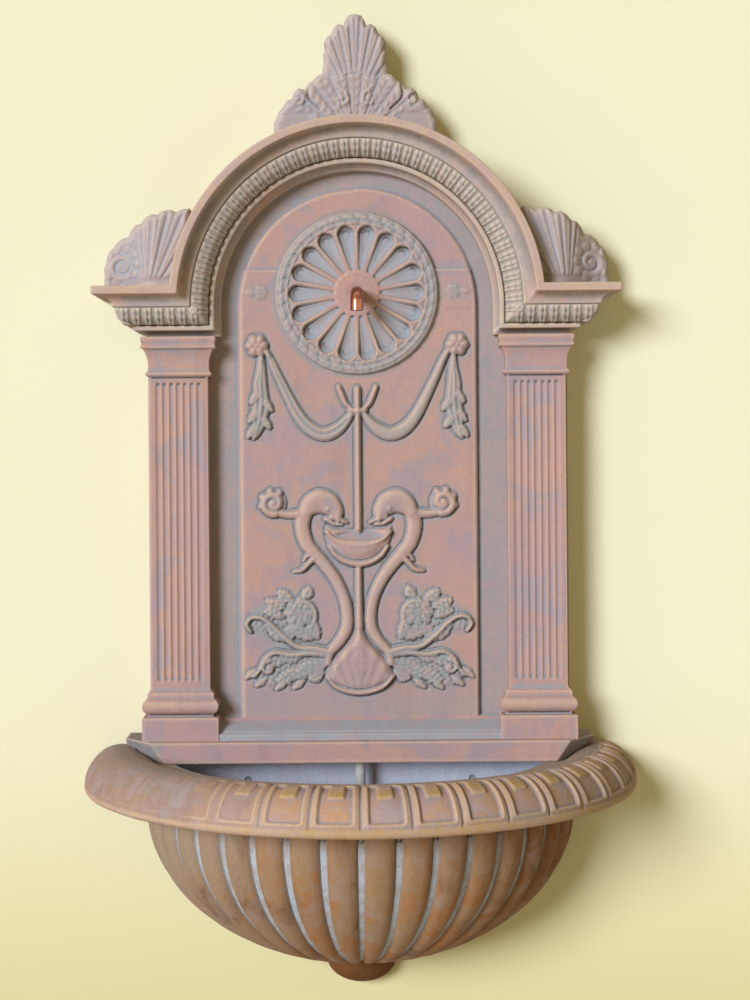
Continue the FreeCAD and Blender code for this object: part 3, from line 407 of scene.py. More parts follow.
def linear(colour):
    # colours are written as they look, 0 to 255
    parts = []
    for value in colour:
        c = value / 255.0
        parts.append(c / 12.92 if c <= 0.04045 else ((c + 0.055) / 1.055) ** 2.4)
    return (parts[0], parts[1], parts[2], 1.0)


def bumpFrom(tree, shader, height, distance, strength, under=None):
    node = addNode(tree, "ShaderNodeBump",
                   values={"Height": height, "Distance": distance * mm, "Strength": strength})
    if under is not None:
        tree.links.new(under, node.inputs["Normal"])
    tree.links.new(node.outputs[0], shader.inputs["Normal"])
    return node.outputs[0]


def castStone(name, look):
    # layers of colour over one another: haze, runs, wash in hollows, pale edges from dust and painted
    # highlight, painted shade in hollows, and speckle
    material, tree, shader = newMaterial(name)
    coordinates = addNode(tree, "ShaderNodeTexCoord").outputs["Object"]
    outward = addNode(tree, "ShaderNodeTexCoord").outputs["Normal"]

    def painted(layer):
        return addNode(tree, "ShaderNodeAttribute", {"attribute_name": layer}).outputs["Fac"]

    def times(first, second):
        return mathNode(tree, "MULTIPLY", first, second)

    def uneven(value, noise, amount):
        return mathNode(tree, "ADD", value, times(mathNode(tree, "SUBTRACT", noise, 0.5), amount))

    def between(value, low, high, share):
        return ramp(tree, value, look[low], look[high], 0.0, look[share])

    recess = painted("recess")
    clouds = noiseFrom(tree, coordinates, look["cloudSize"], 3.0, 0.55, 0.3)
    patches = noiseFrom(tree, coordinates, look["patchSize"], 5.0, 0.62, 0.6)
    mottle = noiseFrom(tree, coordinates, 13.0, 4.0, 0.6, 0.4)
    streaks = addNode(tree, "ShaderNodeMapping", values={"Vector": coordinates, "Scale": (1.0, 1.0, 0.22)})
    runs = noiseFrom(tree, streaks.outputs[0], look["runSize"], 4.0, 0.6, 0.3)
    grain = noiseFrom(tree, coordinates, 3.0, 4.0, 0.7)
    # tilt: how far a face turns up and to the upper left, where the light comes from
    tilt = addNode(tree, "ShaderNodeVectorMath", {"operation": "DOT_PRODUCT"},
                   {0: outward, 1: (-0.55, -0.15, 0.82)}).outputs["Value"]
    # dust and painted highlight: faces turned up and towards the light take more of the pale edge colour
    dustAndHighlight = ramp(tree, tilt, -0.15, 0.65, 0.30, 1.0)
    # painted shade: hollows on faces turned away from the light are darkened
    awayFromLight = ramp(tree, tilt, 0.40, -0.30, 0.12, 1.0)
    # the patina attribute also carries painted light: the shadow under the rim on the bowl, and pale tones on
    # the plinth's ends and the top of the rim
    bloom = times(painted("patinaAndPaintedLight"), ramp(tree, mottle, 0.32, 0.60, 0.45, 1.0))
    layers = []
    # painted shade: the right-hand side, away from the light, is blended towards a darker tone; the left-hand
    # side takes a tone of its own
    if "shadedSide" in look:
        sideways = addNode(tree, "ShaderNodeSeparateXYZ", values={"Vector": coordinates}).outputs["X"]
        layers += [(ramp(tree, sideways, -0.26, -0.02, look["nearShare"], 0.0), "nearSide"),
                   (ramp(tree, sideways, 0.05, 0.27, 0.0, look["shadedSideShare"]), "shadedSide")]
    layers += [
        (ramp(tree, patches, 0.47, 0.66, 0.0, look["haze"]), "veil"),
        (ramp(tree, runs, 0.52, 0.70, 0.0, look["stain"]), "dark"),
        (times(bloom, look["patinaAndPaintedLightShare"]), "patinaAndPaintedLight"),
        (between(uneven(recess, patches, 0.35), "washFrom", "washFull", "washShare"), "wash"),
        (times(dustAndHighlight, between(uneven(recess, runs, 0.25), "edgeFrom", "edgeFull", "edgeShare")), "edge"),
        (times(painted("accent"), ramp(tree, mottle, 0.30, 0.60, 0.6, 1.0)), "accent"),
        # painted shade in hollows that face away from the light
        (times(awayFromLight, between(recess, "paintedShadeFrom", "paintedShadeFull", "paintedShade")), "dark"),
        (ramp(tree, grain, 0.36, 0.66, 0.0, look["speckle"]), "speck"),
        (ramp(tree, mottle, 0.60, 0.40, 0.0, 0.20), "veil"),
    ]
    base = blendColour(tree, ramp(tree, clouds, 0.42, 0.58), look["body"], look["bodyWarm"])
    for share, colour in layers:
        base = blendColour(tree, share, base, look[colour])
    rough = ramp(tree, patches, 0.3, 0.7, look["roughLow"], look["roughHigh"])
    tree.links.new(base, shader.inputs["Base Color"])
    tree.links.new(rough, shader.inputs["Roughness"])
    shader.inputs["Specular IOR Level"].default_value = 0.28
    coarse = bumpFrom(tree, shader, noiseFrom(tree, coordinates, 7.0, 5.0, 0.6), 0.8, 0.5)
    bumpFrom(tree, shader, grain, 0.35, 0.45, coarse)
    return material


panelLook = {
    "body": (188, 151, 145), "bodyWarm": (197, 153, 136), "veil": (164, 149, 156), "patinaAndPaintedLight": (147, 154, 151),
    "wash": (158, 164, 168), "dark": (66, 50, 32), "edge": (214, 184, 158), "accent": (160, 170, 176),
    "speck": (150, 122, 114), "speckle": 0.20,
    "cloudSize": 150.0, "patchSize": 60.0, "runSize": 42.0, "haze": 0.75, "stain": 0.12, "patinaAndPaintedLightShare": 1.0,
    "washFrom": 0.56, "washFull": 0.76, "washShare": 0.80, "paintedShadeFrom": 0.63, "paintedShadeFull": 0.82, "paintedShade": 1.0,
    "edgeFrom": 0.44, "edgeFull": 0.20, "edgeShare": 0.75, "roughLow": 0.72, "roughHigh": 0.9,
}
mouldLook = dict(panelLook, body=(192, 170, 156), bodyWarm=(204, 164, 140), veil=(180, 162, 170),
                 haze=0.9, cloudSize=70.0, patchSize=34.0,
                 patinaAndPaintedLight=(170, 167, 156), wash=(146, 142, 126), dark=(62, 46, 22), edge=(226, 206, 172),
                 accent=(208, 176, 148), paintedShade=0.85, washShare=0.7)
ornamentLook = dict(panelLook, body=(184, 160, 152), bodyWarm=(190, 156, 144), veil=(168, 158, 168),
                    patinaAndPaintedLight=(176, 172, 166), wash=(176, 182, 188), edge=(212, 194, 180), paintedShade=0.35)
rimLook = dict(panelLook, body=(190, 156, 142), bodyWarm=(206, 156, 112), veil=(180, 160, 164),
               cloudSize=48.0, patchSize=30.0,
               patinaAndPaintedLight=(160, 154, 142), wash=(164, 154, 152), edge=(222, 186, 144), dark=(84, 52, 26),
               accent=(190, 154, 84), paintedShade=0.8, speckle=0.3,
               nearSide=(160, 126, 102), nearShare=0.7, shadedSide=(160, 142, 118), shadedSideShare=0.6)
bowlLook = dict(panelLook, body=(158, 122, 84), bodyWarm=(166, 110, 58), veil=(160, 134, 116),
                haze=0.7, cloudSize=60.0, patchSize=44.0,
                # the right-hand side's dark brown is painted shade
                nearSide=(162, 144, 120), nearShare=0.85, shadedSide=(124, 80, 36), shadedSideShare=0.9,
                # this look's patina colour is a dark brown painted shadow under the rim
                patinaAndPaintedLight=(60, 38, 18), wash=(140, 142, 140), edge=(184, 146, 98), dark=(74, 42, 14),
                speck=(112, 78, 46), accent=(182, 190, 196), stain=0.45)
# painted light: the inside's blue-grey paint is made paler than it is, standing in for light that reaches
# into the shaded basin
insideLook = dict(panelLook, body=(206, 214, 226), bodyWarm=(200, 202, 212), veil=(190, 202, 214),
                  wash=(190, 204, 218), edge=(170, 158, 150), dark=(100, 100, 98), haze=0.5)
# painted shade: the finial's browns are darker than the bowl's, standing in for the shade it hangs in
finialLook = dict(bowlLook, body=(104, 60, 18), bodyWarm=(92, 52, 12), veil=(110, 72, 34),
                  nearSide=(106, 66, 26), shadedSide=(78, 42, 8), edge=(128, 82, 38), wash=(104, 70, 34),
                  patinaAndPaintedLight=(110, 80, 40))

panelStone = castStone("panelStone", panelLook)
mouldStone = castStone("mouldStone", mouldLook)
ornamentStone = castStone("ornamentStone", ornamentLook)
rimStone = castStone("rimStone", rimLook)
bowlStone = castStone("bowlStone", bowlLook)
insideStone = castStone("insideStone", insideLook)
finialStone = castStone("finialStone", finialLook)
print("materials ready")


def castFinish(piece, material, seed, swell=0.9, pits=0.25):
    values = {"Swell": swell * mm, "Swell Size": 60 * mm, "Pits": pits * mm, "Pit Size": 5 * mm,
              "Seed": float(seed), "Material": material}
    runTree(piece, castSurface, values)
    recessMap(piece)


def trimBehind(piece):
    # takes away what a turned repeat leaves behind the wall plane
    work = bmesh.new()
    work.from_mesh(piece.data)
    behind = [face for face in work.faces if face.calc_center_median().y > 0.01 * mm]
    bmesh.ops.delete(work, geom=behind, context="FACES")
    work.to_mesh(piece.data)
    work.free()


# Moulding of arch and cornice

moulding = {
    "archCentre": 558.0, "archOuter": 227.0, "width": 59.0, "base": 64.0, "reach": 48.0, "fillet": 10.0,
    "corniceRise": 23.0, "corniceTop": 581.0, "corniceCore": 266.0, "sideReach": 54.0, "leafPitch": 12.6,
}


def bandGround(count):
    # the quarter round under the leaf band, as (inwards, out)
    base = moulding["base"]
    return throughThree((24.6, base + 25.0), (38.0, base + 19.5), (45.0, base + 6.5), count)


def mouldProfile():
    # (inwards from the outer edge, out from the wall)
    m = moulding
    base = m["base"]
    top = base + m["reach"]
    line = [(0, 0), (0, top), (m["fillet"], top), (m["fillet"], top - 5.5), (m["fillet"] + 1.2, top - 6)]
    line += throughThree((m["fillet"] + 1.2, top - 6), (13.6, base + 32.5), (21.5, base + 28), 10)
    line += [(24, base + 28), (24.2, base + 24)]
    line += bandGround(12)
    line += [(45, base + 3), (46, base + 3), (46.3, base + 7.5), (51.5, base + 7.5), (52.2, base + 6)]
    line += [(52.6, base - 2), (56, base - 8), (m["width"], base - 10), (m["width"], base - 28)]
    return evenLine(line, 1.2, 1)


def sideOffset(out):
    # how far the side return stands from the middle for a given reach from the wall
    m = moulding
    share = m["sideReach"] / m["reach"]
    low = m["archOuter"] + 1 + (m["corniceCore"] - m["archOuter"] - 1) * out / m["base"]
    return np.where(out < m["base"], low, m["corniceCore"] + (out - m["base"]) * share)


def mouldStations(inward, out):
    # left half of the path for each profile point: side, front, then up and round to the crown
    m = moulding
    top = m["corniceTop"] - inward
    side = -sideOffset(out)
    radius = m["archOuter"] - inward
    lift = np.arcsin(np.clip(m["corniceRise"] - inward, 0, None) / radius)
    jamb = np.clip(inward - m["corniceRise"], 0, None)
    zero = np.zeros_like(inward)
    corners = [(side, zero, top), (side, -out, top), (-radius * np.cos(lift), -out, top)]
    stations = []
    for start, end, count in zip(corners[:-1], corners[1:], (28, 34)):
        a = np.stack(start, axis=1)
        b = np.stack(end, axis=1)
        stations += [a + (b - a) * t for t in np.linspace(0.0, 1.0, count, endpoint=False)]
    length = jamb + radius * (math.pi / 2 - lift)
    for share in np.linspace(0.0, 1.0, 124):
        at = share * length
        turn = lift + np.maximum(at - jamb, 0) / radius
        height = np.where(at < jamb, at - jamb, radius * np.sin(turn))
        stations.append(np.stack([-radius * np.cos(turn), -out, m["archCentre"] + height], axis=1))
    return stations


def makeMoulding():
    line = mouldProfile()
    left = mouldStations(line[:, 0], line[:, 1])
    mirrored = [points * np.array([-1, 1, 1]) for points in left[-2::-1]]
    points = np.stack(left + mirrored)
    piece = gridPiece("archAndCornice", points, (0, 0, 400))
    carved = smoothStep(21, 24, line[:, 0]) * smoothStep(47, 45, line[:, 0])
    carved = np.maximum(carved, 0.35 * smoothStep(10, 13, line[:, 0]))
    paintPoints(piece, "patinaAndPaintedLight", np.tile(carved, len(points)))
    paintPoints(piece, "accent", np.tile(0.75 * smoothStep(10.8, 9.6, line[:, 0]), len(points)))
    castFinish(piece, mouldStone, 1)
    settle(piece, "panel")


makeMoulding()
print("moulding swept")


# Leaf band that runs along the moulding

leafBand = {"rise": 3.4, "tiltDeg": 40.0, "at": 35.0, "level": 84.0, "tip": 0.20}


def leafShape():
    # one leaf with a rounded tip towards the inner edge, laid on the quarter round
    b = leafBand
    rows = 13
    cols = 11
    ground = np.array(bandGround(rows))
    normal = lineNormals(ground)
    half = moulding["leafPitch"] / 2
    tilt = math.radians(b["tiltDeg"])
    points = np.zeros((rows, cols, 3))
    for i, v in enumerate(np.linspace(0.0, 1.0, rows)):
        narrow = 1.0 if v < 0.35 else math.sqrt(max(0.0, 1 - ((v - 0.35) / 0.65) ** 2 * (1 - b["tip"] ** 2)))
        ends = smoothStep(0.0, 0.10, v) * smoothStep(1.0, 0.90, v)
        for j, u in enumerate(np.linspace(-1.0, 1.0, cols)):
            rise = b["rise"] * (max(0.0, 1 - abs(u) ** 2.6)) ** 0.6 * ends
            rise = rise - 1.7 * math.exp(-(u * 4.5) ** 2) * ends + 0.5 * math.sin(v * 19) * ends - 0.9
            spot = ground[i] + normal[i] * rise
            inward = spot[0] - b["at"]
            out = spot[1] - b["level"]
            points[i, j] = (u * half * 0.93 * narrow, -math.cos(tilt) * inward + math.sin(tilt) * out,
                            math.sin(tilt) * inward + math.cos(tilt) * out)
    return newPiece("leafPattern", points.reshape(-1, 3), gridFaces(rows, cols), (0, 0, -60))


def railLine(points, outwards):
    # edges with a stored outward direction
    mesh = newMesh("rail", points, [], [(k, k + 1) for k in range(len(points) - 1)])
    layer = mesh.attributes.new("outward", "FLOAT_VECTOR", "POINT")
    layer.data.foreach_set("vector", np.array(outwards, np.float32).ravel())
    return addObject("rail", mesh)


def joinPieces(name, pieces):
    points = []
    faces = []
    offset = 0
    for piece in pieces:
        points.append(piecePoints(piece))
        faces += [[index + offset for index in face.vertices] for face in piece.data.polygons]
        offset += len(piece.data.vertices)
        bpy.data.objects.remove(piece)
    return addObject(name, newMesh(name, np.vstack(points), faces))


def makeLeafBand():
    m = moulding
    b = leafBand
    inward = math.sin(math.radians(b["tiltDeg"]))
    outward = math.cos(math.radians(b["tiltDeg"]))
    level = b["level"]
    radius = m["archOuter"] - b["at"]
    top = m["corniceTop"] - b["at"]
    side = float(sideOffset(np.array(level)))
    half = m["leafPitch"] / 2
    down = (0, -outward, -inward)
    rails = [
        ([(-side, -6, top), (-side, -level + half, top)], [(-outward, 0, -inward)] * 2),
        ([(-side + half, -level, top), (-radius - half, -level, top)], [down] * 2),
        ([(radius + half, -level, top), (side - half, -level, top)], [down] * 2),
        ([(side, -level + half, top), (side, -6, top)], [(outward, 0, -inward)] * 2),
    ]
    arch = [(-radius, -level, top + half)]
    facing = [(inward, -outward, 0)]
    for turn in np.linspace(math.pi, 0, 80):
        arch.append((radius * math.cos(turn), -level, m["archCentre"] + radius * math.sin(turn)))
        facing.append((-inward * math.cos(turn), -outward, -inward * math.sin(turn)))
    arch.append((radius, -level, top + half))
    facing.append((-inward, -outward, 0))
    rails.append((arch, facing))
    pattern = leafShape()
    made = []
    for points, outwards in rails:
        values = {"Pitch": m["leafPitch"] * mm, "Ornament": pattern, "Material": mouldStone}
        made.append(runTree(railLine(points, outwards), railRepeat, values))
    bpy.data.objects.remove(pattern)
    band = joinPieces("leafBand", made)
    band.data.materials.append(mouldStone)
    paintPoints(band, "patinaAndPaintedLight", 0.9)
    recessMap(band, ((1.5, 0.35), (3.0, 0.8)))
    settle(band, "panel")


makeLeafBand()
print("leaf band laid")


# Pilasters

pilaster = {
    "inner": 184.0, "outer": 256.0, "front": 62.0, "flutes": 7, "flutePitch": 8.4, "fluteHalf": 3.1,
    "fluteDepth": 1.8, "fluteTop": 466.0, "fluteFoot": 98.0, "backing": 4.0, "backingFront": 40.0,
}


def pilasterProfile():
    # (height, reach beyond the shaft) from the top down
    line = [(522, 6), (522, 10), (516, 10), (514.5, 8.6), (512, 8.6), (510.5, 10), (507, 10), (507, 7)]
    line += throughThree((507, 7), (498, 3.0), (492, 1.5), 8)
    line += [(479, 1.5)]
    line += throughThree((479, 1.5), (476, 4.8), (473, 1.5), 8)
    line += [(472.5, 0), (92, 0)]
    line += throughThree((92, 0), (86.5, 1.3), (84, 5.0), 6)
    line += [(78, 5.0), (77.5, 4)]
    line += throughThree((77.5, 4), (68, 11.0), (58.5, 4), 12)
    line += [(58, 4), (55, 4), (54.8, 11), (24.5, 11)]
    return evenLine(line, 1.7, 1)


def makePilaster(sign):
    p = pilaster
    middle = (p["inner"] + p["outer"]) / 2
    half = (p["outer"] - p["inner"]) / 2
    back = p["backingFront"]
    profile = pilasterProfile()
    sideCount = 22
    frontCount = 92
    share = np.linspace(0.0, 1.0, frontCount)
    rows = []
    for height, reach in profile:
        # plan of one section: inner side from the wall, round the front, outer side back to the wall
        wide = half + reach
        front = p["front"] + reach
        outerWide = max(wide, half + p["backing"])
        innerSide = [(-wide, -front * t) for t in np.linspace(0.0, 1.0, sideCount, endpoint=False)]
        face = np.stack([-wide + 2 * wide * share, np.full(frontCount, -front)], axis=1)
        groove = np.zeros(frontCount)
        for index in range(p["flutes"]):
            centre = (index - (p["flutes"] - 1) / 2) * p["flutePitch"]
            across = (face[:, 0] - centre) / p["fluteHalf"]
            past = max(height - p["fluteTop"] + p["fluteHalf"], p["fluteFoot"] + p["fluteHalf"] - height, 0.0)
            away = across ** 2 + (past / p["fluteHalf"]) ** 2
            groove = np.maximum(groove, np.sqrt(np.clip(1.0 - away, 0.0, 1.0)))
        face[:, 1] += groove * p["fluteDepth"]
        outerFront = [(wide, -front + (front - back) * t) for t in np.linspace(0.0, 1.0, 8)][1:]
        outerBack = [(outerWide, -back + back * t) for t in np.linspace(0.0, 1.0, 14)]
        rows.append(np.vstack([innerSide, face, outerFront, outerBack]))
    plan = np.stack(rows)
    points = np.zeros(plan.shape[:2] + (3,))
    points[:, :, 0] = sign * (middle + plan[:, :, 0])
    points[:, :, 1] = plan[:, :, 1]
    points[:, :, 2] = profile[:, 0][:, None]
    piece = gridPiece("pilasterRight" if sign > 0 else "pilasterLeft", points, (sign * middle, 0, 300))
    castFinish(piece, panelStone, 2 + sign, 0.7)
    settle(piece, "panel")


for side in (-1, 1):
    makePilaster(side)
print("pilasters fluted")


# Plinth and sill

plinth = {
    "top": 26.0, "bottom": 0.3, "front": 84.0, "halfWidth": 291.0, "nose": 240.0, "noseTop": 257.0,
    "returnDepth": 8.0, "returnTop": 45.0, "sillTop": 36.0, "sillFront": 72.0, "sillHalf": 184.0,
    "sillBend": (56.0, 43.0), "fieldFoot": 49.0, "fieldFront": 46.0, "scribe": 1.0, "endSlot": 3.0,
    "slotDepth": 4.0,
}
# the basin's rim, to which the plinth's ends are scribed
rollShape = {"ledge": 262.0, "crestRadius": 288.0, "crestFlat": 12.0, "crestHeight": 12.0, "ovolo": 45.0}
rollEnd = rollShape["crestRadius"] + rollShape["crestFlat"]


def rimSurface(radius):
    # height of the basin's rim under the plinth
    r = rollShape
    share = (radius - r["ledge"]) / (r["crestRadius"] - r["ledge"])
    rising = r["crestHeight"] * np.sin(np.clip(share, 0, 1) * math.pi / 2)
    beyond = np.clip(radius - rollEnd, 0, None)
    falling = r["crestHeight"] - r["ovolo"] + np.sqrt(np.clip(r["ovolo"] ** 2 - beyond ** 2, 0, None))
    return np.where(radius < rollEnd, rising, falling)


def plinthPath(share):
    # outline at a share of the height: the ends lean outwards to the top
    p = plinth
    nose = p["nose"] + (p["noseTop"] - p["nose"]) * share
    back = p["returnDepth"] + (p["returnTop"] - p["returnDepth"]) * share
    corners = np.array([(-p["halfWidth"], 0), (-p["halfWidth"], -back), (-nose, -p["front"]),
                        (nose, -p["front"]), (p["halfWidth"], -back), (p["halfWidth"], 0)], float)
    legs = []
    for start, end, count in zip(corners[:-1], corners[1:], (10, 34, 220, 34, 10)):
        legs.append(start + (end - start) * np.linspace(0.0, 1.0, count, endpoint=False)[:, None])
    path = np.vstack(legs + [corners[-1:]])
    path[1:-1] = path[1:-1] * 0.5 + (path[:-2] + path[2:]) * 0.25
    return path


def makePlinth():
    p = plinth
    foot = plinthPath(0.0)
    radius = np.hypot(foot[:, 0], foot[:, 1])
    onLedge = radius < rollShape["ledge"] - 1
    scribed = np.where(onLedge, p["bottom"], np.maximum(p["bottom"], rimSurface(radius) + p["scribe"]))
    low = scribed + p["endSlot"] * smoothStep(p["nose"] - 2, p["nose"] + 6, np.abs(foot[:, 0])) * ~onLedge
    head = plinthPath(1.0)
    # the slot over the rim goes in by a few millimetres and is closed behind
    behind = foot * (1 - p["slotDepth"] / np.maximum(np.abs(foot[:, :1]), 60))
    behind = behind + np.array([0.0, p["slotDepth"]])
    behind[:, 1] = np.minimum(behind[:, 1], 0.0)
    rows = [np.column_stack([behind, np.minimum(scribed, low - 0.1)]), np.column_stack([behind, low])]
    for share in np.linspace(0.0, 1.0, 15):
        height = low + (p["top"] - 1.6 - low) * share
        path = foot + (head - foot) * (height / p["top"])[:, None]
        rows.append(np.column_stack([path, height]))
    for inset, drop in ((0.5, 0.6), (1.5, 0.1), (4, 0), (9, 0), (16, 0), (26, 0), (44, 0)):
        shrink = 1 - inset / np.maximum(np.abs(head[:, 0]), 60)
        moved = np.column_stack([head[:, 0] * shrink, np.minimum(head[:, 1] + inset, 0.0)])
        rows.append(np.column_stack([moved, np.full(len(head), p["top"] - drop)]))
    piece = gridPiece("plinth", np.stack(rows), (0, 0, 5))
    place = piecePoints(piece)
    # painted light: the slanted end faces get the pale grey patina tone, standing in for light on faces
    # turned from the lamp
    paintPoints(piece, "patinaAndPaintedLight", 0.9 * smoothStep(p["nose"] - 2, p["nose"] + 12, np.abs(place[:, 0])))
    castFinish(piece, panelStone, 5, 0.8)
    settle(piece, "panel")


def makeSill():
    p = plinth
    front = p["sillFront"]
    top = p["sillTop"]
    line = [(front, p["top"] - 3), (front, top - 3), (front - 2, top - 1), (front - 4, top - 1)]
    line += [(front - 5, top - 2.5)]
    line += throughThree((front - 6, top + 0.5), p["sillBend"], (p["fieldFront"] - 5, p["fieldFoot"] + 3), 12)
    profile = evenLine(line, 1.3, 1)
    across = np.linspace(-p["sillHalf"], p["sillHalf"], 180)
    points = np.zeros((len(profile), len(across), 3))
    points[:, :, 0] = across[None, :]
    points[:, :, 1] = -profile[:, 0][:, None]
    points[:, :, 2] = profile[:, 1][:, None]
    piece = gridPiece("sill", points, (0, 0, 20))
    paintPoints(piece, "accent", 0.85)
    castFinish(piece, panelStone, 6, 0.7)
    settle(piece, "panel")


makePlinth()
makeSill()
print("plinth and sill set")


# Relief drawing on a flat sheet of heights

def newSheet(left, right, low, high, cell):
    x = np.arange(left, right + cell / 2, cell)
    z = np.arange(low, high + cell / 2, cell)
    gridX, gridZ = np.meshgrid(x, z)
    return {"x": gridX, "z": gridZ, "cell": cell, "left": left, "low": low,
            "relief": np.zeros(gridX.shape), "solid": np.full(gridX.shape, -50.0),
            "cut": np.zeros(gridX.shape)}


def window(sheet, x, z, reach):
    rows, cols = sheet["x"].shape
    c0 = int(max(0, (x[0] - reach - sheet["left"]) / sheet["cell"]))
    c1 = int(min(cols, (x[1] + reach - sheet["left"]) / sheet["cell"] + 2))
    r0 = int(max(0, (z[0] - reach - sheet["low"]) / sheet["cell"]))
    r1 = int(min(rows, (z[1] + reach - sheet["low"]) / sheet["cell"] + 2))
    return slice(r0, r1), slice(c0, c1)


def around(sheet, centre, reach):
    # the part of the sheet round a point, with each cell's place as seen from it
    part = window(sheet, (centre[0], centre[0]), (centre[1], centre[1]), reach)
    return part, sheet["x"][part] - centre[0], sheet["z"][part] - centre[1]


everywhere = (slice(None), slice(None))


def raiseTo(sheet, part, value, inside):
    sheet["relief"][part] = np.maximum(sheet["relief"][part], np.where(inside > 0, value, 0.0))
    sheet["solid"][part] = np.maximum(sheet["solid"][part], inside)


def stroke(sheet, line, halves, height, folds=0, base=0.0, fullness=0.5):
    # rounded band along a line, with lengthwise folds if asked
    halves = np.interp(np.linspace(0, 1, len(line)), np.linspace(0, 1, len(halves)), halves)
    for k in range(len(line) - 1):
        a = line[k]
        b = line[k + 1]
        reach = max(halves[k], halves[k + 1]) + 1
        part = window(sheet, sorted((a[0], b[0])), sorted((a[1], b[1])), reach)
        px = sheet["x"][part] - a[0]
        pz = sheet["z"][part] - a[1]
        dx = b[0] - a[0]
        dz = b[1] - a[1]
        length = math.hypot(dx, dz) + 1e-9
        t = np.clip((px * dx + pz * dz) / length ** 2, 0.0, 1.0)
        away = np.hypot(px - t * dx, pz - t * dz)
        half = halves[k] + (halves[k + 1] - halves[k]) * t
        side = (px * dz - pz * dx) / length / half
        value = height * np.clip(1.0 - (away / half) ** 2, 0.0, 1.0) ** fullness
        if folds:
            value = value * (0.80 + 0.20 * np.cos(side * math.pi * folds))
        raiseTo(sheet, part, base + value, half - away)


def blade(sheet, start, end, half, height, bend=0.0, lobes=4, base=0.0):
    # one acanthus leaf: lobed outline, middle vein and side veins
    start = np.array(start, float)
    end = np.array(end, float)
    along = end - start
    length = np.linalg.norm(along)
    unit = along / length
    across = np.array([-unit[1], unit[0]])
    xs = sorted((start[0], end[0]))
    zs = sorted((start[1], end[1]))
    part = window(sheet, xs, zs, half + abs(bend) + 3)
    px = sheet["x"][part] - start[0]
    pz = sheet["z"][part] - start[1]
    t = np.clip((px * unit[0] + pz * unit[1]) / length, 0.0, 1.0)
    side = px * across[0] + pz * across[1] - bend * np.sin(t * math.pi)
    over = np.maximum(np.abs((px * unit[0] + pz * unit[1]) / length - 0.5) - 0.5, 0.0) * length
    width = half * (np.sin(np.clip(t * 0.86 + 0.14, 0, 1) * math.pi) ** 0.75)
    phase = t * lobes - 0.35 * np.abs(side) / max(half, 1)
    width = width * (0.80 + 0.20 * np.abs(np.sin(phase * math.pi)))
    away = np.hypot(side, over)
    u = away / np.maximum(width, 0.4)
    value = height * np.clip(1.0 - u ** 2, 0.0, 1.0) ** 0.45
    value = value * (0.84 + 0.16 * np.abs(np.sin(phase * math.pi)))
    value = value - 0.30 * height * np.exp(-(side / 1.1) ** 2) * (value > 0)
    raiseTo(sheet, part, base + np.maximum(value, 0.0), width - away)


def curl(sheet, centre, radius, turns, half, height, startDeg, way=1, base=0.0):
    # spiral scroll that winds in to a small ball
    share = np.linspace(0.0, 1.0, int(26 * turns) + 8)
    angle = math.radians(startDeg) + way * share * turns * 2 * math.pi
    reach = radius * (1.0 - 0.82 * share)
    line = np.stack([centre[0] + reach * np.cos(angle), centre[1] + reach * np.sin(angle)], axis=1)
    stroke(sheet, line, (half, half * 0.9, half * 0.6), height, base=base)
    boss(sheet, centre, half * 1.15, height * 1.15, base)


def boss(sheet, centre, radius, height, base=0.0):
    part, px, pz = around(sheet, centre, radius + 1)
    away = np.hypot(px, pz)
    value = height * np.sqrt(np.clip(1.0 - (away / radius) ** 2, 0.0, 1.0))
    raiseTo(sheet, part, base + value, radius - away)


def rosette(sheet, centre, radius, leaves, height, base=0.0):
    part, px, pz = around(sheet, centre, radius + 1)
    away = np.hypot(px, pz)
    turn = np.arctan2(pz, px)
    edge = radius * (0.86 + 0.14 * np.abs(np.cos(turn * leaves / 2)))
    u = away / edge
    value = height * np.clip(1.0 - u ** 2, 0.0, 1.0) ** 0.4
    value = value * (0.62 + 0.38 * np.abs(np.cos(turn * leaves / 2)) ** 0.7 * smoothStep(0.15, 0.45, u))
    raiseTo(sheet, part, base + value, edge - away)
    boss(sheet, centre, radius * 0.27, height * 0.95, base)


def mirrorSheet(sheet):
    sheet["relief"] = np.maximum(sheet["relief"], sheet["relief"][:, ::-1])
    sheet["solid"] = np.maximum(sheet["solid"], sheet["solid"][:, ::-1])


# Relief on the field

fieldRelief = {
    "cell": 1.5, "extent": (-186.0, 186.0, 50.0, 730.0), "discHeight": 575.0, "discHole": 97.0,
    "discBloom": (109.0, 101.0),
    "swag": [(-112, 503), (-106, 492), (-98, 474), (-86, 449), (-72, 423), (-57.5, 407), (-40, 400.5),
             (-22, 409), (-8, 425)],
    "tail": [(-119, 501), (-119, 482), (-120, 462), (-119, 444), (-121, 424), (-125, 404), (-129, 396)],
    "bird": [(-50, 318), (-61, 311), (-68, 298), (-69, 283), (-64, 266), (-55, 254), (-40, 237), (-27.5, 219),
             (-18.5, 199), (-14.5, 179), (-15.5, 161), (-24, 145), (-36, 131), (-39, 118)],
    "head": [(-66, 304), (-59, 313), (-48, 318), (-37, 315), (-28, 306), (-25, 295)],
    "outline": [(-28, 131), (-60, 137), (-82, 128), (-108, 137), (-122, 118), (-134, 100), (-118, 88),
                (-92, 86), (-64, 94), (-44, 104)],
    "crown": [(-46, 140), (-48, 164), (-52, 186), (-64, 202), (-84, 207), (-104, 200), (-122, 188),
              (-138, 178), (-138, 158), (-112, 150), (-84, 142)],
}


